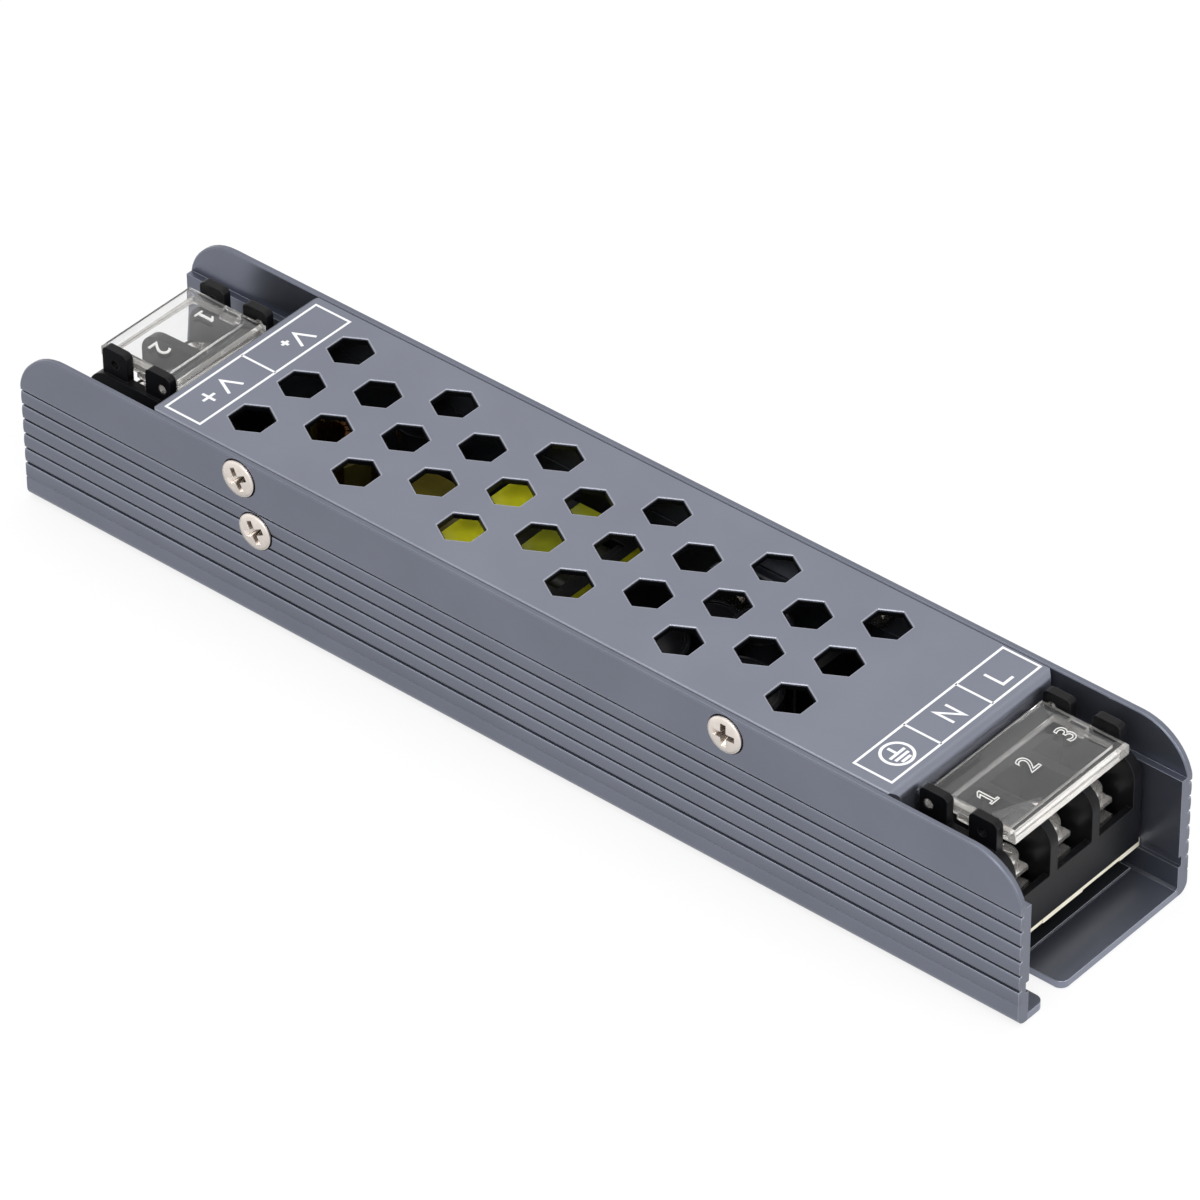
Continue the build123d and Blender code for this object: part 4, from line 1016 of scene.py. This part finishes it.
def rounded_copy(name, node, rounding):
    """A CAD node's mesh, welded, with its sharp edges rounded."""
    source = nodes[node]
    shape = bmesh.new()
    shape.from_mesh(source.data)
    shape.transform(source.matrix_world)
    bmesh.ops.remove_doubles(shape, verts=shape.verts, dist=WELD_DISTANCE)
    bmesh.ops.dissolve_limit(
        shape, angle_limit=FLAT_ANGLE, verts=shape.verts, edges=shape.edges,
    )
    piece = finish_mesh(name, shape)
    rounds = piece.modifiers.new("rounded_edges", "BEVEL")
    rounds.width = rounding
    rounds.segments = ROUND_STEPS
    rounds.limit_method = "ANGLE"
    rounds.angle_limit = SHARP_ANGLE
    graph = bpy.context.evaluated_depsgraph_get()
    plain = bpy.data.meshes.new_from_object(piece.evaluated_get(graph), depsgraph=graph)
    piece.modifiers.remove(rounds)
    piece.data = plain
    plain.shade_smooth()
    plain.set_sharp_from_angle(angle=SMOOTH_ANGLE)
    return piece


clamp_finish = plated_metal(
    "terminal_nickel", TERMINAL_NICKEL, TERMINAL_NICKEL_DARK, TERMINAL_ROUGHNESS,
    TERMINAL_SHINE,
)
pan_tree, pan_sizes, pan_result = new_geometry_tree("pan_head_screw", PAN_SCREW)
pan_radius = pan_sizes["Head Radius"]
pan_height = pan_sizes["Head Height"]
pan_dome = pan_sizes["Dome Height"]
pan_rim = moved(
    pan_tree, frustum(pan_tree, SCREW_SIDES, pan_radius, pan_radius, pan_height), z=pan_height,
)
pan_crown_radius = math_node(pan_tree, "MULTIPLY", pan_radius, CROWN_SHARE)
pan_crown = moved(pan_tree, dome(pan_tree, pan_crown_radius, pan_dome), z=pan_height)
pan_top = math_node(pan_tree, "ADD", pan_height, pan_dome)
pan_head = cross_cut(pan_tree, union(pan_tree, pan_rim, pan_crown), pan_sizes, pan_top)
pan_screw = join(pan_tree, pan_head, thread(pan_tree, pan_sizes, 0.0, pan_sizes["Length"]))
plant(
    pan_tree, pan_sizes["Geometry"], pan_screw, pan_sizes, CLAMP_SCREW_SEED, clamp_finish,
    pan_result,
)

head_rise = PAN_SCREW["Head Height"] + PAN_SCREW["Dome Height"]
for end, count in CLAMPS.items():
    for number in range(1, count + 1):
        body = f"{end}_terminal_{number}"
        node = f"{end}_screw_{number}"
        low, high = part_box(node)
        seat = ((low.x + high.x) / 2, (low.y + high.y) / 2, high.z - head_rise)
        sizes = {**PAN_SCREW, "First Turn": number * SCREW_TURN_STEP}
        screw = grown("detailed_" + node, pan_tree, [seat], sizes)
        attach(screw, body)
        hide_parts(node)
        node = f"{end}_washer_{number}"
        washer = rounded_copy("rounded_" + node, node, HARDWARE_ROUND)
        washer.data.materials.clear()
        washer.data.materials.append(clamp_finish)
        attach(washer, body)
        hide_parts(node)
    dress(f"{end}_terminal_plates", clamp_finish)

# Flip lids. Clear polycarbonate mouldings: a pocketed pane in a thick frame,
# side ribs, raised terminal numbers, and two pins that turn in the rear ears.
# Upright faces and rounded edges get a creamier, cloudier finish, painted light for where they
# catch the light.
LID_TINT = (0.88, 0.88, 0.88)
# Painted light: the lid's upright faces and rounded edges are creamier and cloudier.
LID_EDGE_PAINTED_LIGHT_TINT = (1.0, 0.975, 0.93)
LID_CLEARNESS = 0.985
LID_EDGE_CLEARNESS = 0.74
LID_DARK = 0.96
LID_MOTTLE = 160.0
LID_REFRACTION = 1.5
PANE_ROUGHNESS = 0.02
LID_EDGE_ROUGHNESS = 0.08
NUMBER_TINT = (0.96, 0.95, 0.93)
NUMBER_CLEARNESS = 0.35
NUMBER_ROUGHNESS = 0.3
LID_ROUND = 0.3 * MM
LID_FLAT = 0.95
DIGIT_SIZE = 5.0 * MM
DIGIT_LINE = 0.11 * MM
ONE_HEIGHT = 3.3 * MM
FLAGGED_ONE = (
    (-0.27, 0), (0.27, 0), (0.27, 0.11), (0.08, 0.11), (0.08, 1), (-0.04, 1),
    (-0.27, 0.8), (-0.27, 0.67), (-0.08, 0.8), (-0.08, 0.11), (-0.27, 0.11),
)
LID_DIGITS = {
    "input": (((84.3, -8.9), "1"), ((84.5, 0.8), "2"), ((84.5, 10.0), "3")),
    "output": (((-83.8, 5.3), "1"), ((-83.8, -5.4), "2")),
}


def clear_plastic(name, tint, clearness, roughness):
    """Clear moulded plastic, or a cloudier one where it is less clear."""
    finish, tree, shader = shader_tree(name)
    noise = object_noise(tree, LID_MOTTLE, 3.0)
    haze = mottled(tree, noise, tint, dimmed(tint, LID_DARK))
    tree.links.new(haze, shader.inputs["Base Color"])
    shader.inputs["Transmission Weight"].default_value = clearness
    shader.inputs["Roughness"].default_value = roughness
    shader.inputs["IOR"].default_value = LID_REFRACTION
    return finish


def digit(name, letter, place, turn, level, hollow):
    """One number as a plain mesh: hollow outline tubes, or a solid raised one."""
    if letter == "1":
        curve = bpy.data.curves.new(name, "CURVE")
        curve.dimensions = "2D"
        outline = curve.splines.new("POLY")
        outline.points.add(len(FLAGGED_ONE) - 1)
        for point, (x, y) in zip(outline.points, FLAGGED_ONE):
            point.co = (x * ONE_HEIGHT, (y - 0.5) * ONE_HEIGHT, 0, 1)
        outline.use_cyclic_u = True
    else:
        curve = bpy.data.curves.new(name, "FONT")
        curve.body = letter
        curve.size = DIGIT_SIZE
        curve.align_x = "CENTER"
        curve.align_y = "CENTER"
    curve.resolution_u = 8
    if hollow:
        curve.fill_mode = "NONE"
        curve.bevel_depth = DIGIT_LINE
        curve.bevel_resolution = 2
    else:
        curve.fill_mode = "BOTH"
        curve.extrude = DIGIT_LINE
    holder = bpy.data.objects.new(name, curve)
    bpy.context.scene.collection.objects.link(holder)
    graph = bpy.context.evaluated_depsgraph_get()
    plain = bpy.data.meshes.new_from_object(holder.evaluated_get(graph), depsgraph=graph)
    bpy.data.objects.remove(holder)
    spot = Matrix.Translation((place[0] * MM, place[1] * MM, level))
    plain.transform(spot @ Matrix.Rotation(turn, 4, "Z"))
    piece = bpy.data.objects.new(name, plain)
    bpy.context.scene.collection.objects.link(piece)
    return piece


pane_finish = clear_plastic("clear_polycarbonate", LID_TINT, LID_CLEARNESS, PANE_ROUGHNESS)
lit_edge_finish = clear_plastic(
    "lid_edge_painted_light", LID_EDGE_PAINTED_LIGHT_TINT, LID_EDGE_CLEARNESS, LID_EDGE_ROUGHNESS,
)
digit_finish = clear_plastic(
    "frosted_number", NUMBER_TINT, NUMBER_CLEARNESS, NUMBER_ROUGHNESS,
)
for end, numbers in LID_DIGITS.items():
    node = f"{end}_lid"
    body = f"{end}_cover_lid"
    lid = rounded_copy("moulded_" + node, node, LID_ROUND)
    lid.data.materials.clear()
    lid.data.materials.append(pane_finish)
    lid.data.materials.append(lit_edge_finish)
    # Upright faces get the painted-light edge finish.
    for face in lid.data.polygons:
        face.material_index = 1 if abs(face.normal.z) < LID_FLAT else 0
    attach(lid, body)
    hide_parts(node)
    low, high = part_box(node)
    turn = math.radians(90 if end == "input" else -90)
    for place, letter in numbers:
        name = f"{end}_lid_number_{letter}"
        number = digit(name, letter, place, turn, high.z, end == "input")
        number.data.materials.clear()
        number.data.materials.append(digit_finish)
        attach(number, body)

# Parts on the board. Ferrite, taped windings, sleeved capacitors and moulded
# packages, seen only as shapes in the dark below the vents. Past a plane near
# the transformer's input end, its yellow tape is darkened to olive with painted shade.
# Painted shade on the yellow tape past this plane.
TAPE_SHADE_PLANE = 2.0 * MM
TAPE_PAINTED_SHADE = 0.22
# Each plastic's colour, painted edge highlight colour and roughness, and the nodes made of it.
PLASTIC_PARTS = {
    "sintered_ferrite": (
        (0.010, 0.010, 0.011), (0.05, 0.05, 0.05), 0.5, ("transformer_core", "choke_core"),
    ),
    "moulded_package": (
        (0.009, 0.009, 0.010), (0.03, 0.03, 0.03), 0.45, (
            "transformer_bobbin", "output_rectifier", "switching_transistor",
            "bridge_rectifier", "fuse", "controller_chip", "optocoupler",
        ),
    ),
    "shrink_sleeve": (
        (0.012, 0.012, 0.015), (0.05, 0.05, 0.06), 0.25,
        ("bulk_capacitors", "filter_capacitors", "output_capacitors"),
    ),
    "grey_case": ((0.030, 0.030, 0.033), (0.07, 0.07, 0.07), 0.45, ("film_capacitor",)),
    "yellow_tape": ((0.95, 0.93, 0.03), (0.98, 0.95, 0.20), 0.22, ("transformer_yoke_tape",)),
    "olive_tape": ((0.40, 0.42, 0.025), (0.5, 0.5, 0.08), 0.22, ("transformer_middle_tape",)),
    "brown_tape": ((0.19, 0.155, 0.025), (0.34, 0.3, 0.08), 0.22, ("drive_transformer",)),
    "dark_tape": ((0.016, 0.015, 0.010), (0.05, 0.05, 0.04), 0.3, ("transformer_winding",)),
    "blue_coating": (
        (0.010, 0.035, 0.12), (0.03, 0.08, 0.2), 0.3, ("safety_capacitor", "varistor"),
    ),
    "green_coating": ((0.010, 0.035, 0.015), (0.03, 0.08, 0.04), 0.4, ("thermistor",)),
    "powder_core": ((0.10, 0.085, 0.02), (0.3, 0.26, 0.06), 0.4, ("output_inductor_core",)),
    "silicone_pad": ((0.26, 0.27, 0.29), (0.3, 0.3, 0.32), 0.6, ("insulating_pads",)),
    "lacquer": ((0.35, 0.24, 0.13), (0.4, 0.3, 0.2), 0.4, ("resistors",)),
}
# Each metal's light and dark colours and roughness, and the nodes made of it.
METAL_PARTS = {
    "zinc_plate": ((0.62, 0.62, 0.63), (0.5, 0.5, 0.5), 0.3, ("clamp_bars",)),
    "enamelled_copper": (
        (0.34, 0.16, 0.06), (0.24, 0.11, 0.04), 0.35,
        ("choke_winding", "output_inductor_winding"),
    ),
}


def paint_shade_past(node, plane, tone):
    """Paints shade on a dressed node's finish beyond a plane across the length."""
    tree = nodes[node].material_slots[0].material.node_tree
    shader = tree.nodes["Principled BSDF"]
    beyond = math_node(tree, "GREATER_THAN", object_axes(tree)["X"], plane)
    share = math_node(tree, "MULTIPLY_ADD", beyond, tone - 1, 1.0)
    dark = scale_tone(tree, base_colour(shader), share)
    tree.links.new(dark, shader.inputs["Base Color"])


for make, table in ((moulded_plastic, PLASTIC_PARTS), (plated_metal, METAL_PARTS)):
    for finish_name, (first, second, roughness, names) in table.items():
        finish = make(finish_name, first, second, roughness)
        for name in names:
            dress(name, finish)
# Painted shade on the yellow tape towards the input end.
paint_shade_past("transformer_yoke_tape", TAPE_SHADE_PLANE, TAPE_PAINTED_SHADE)
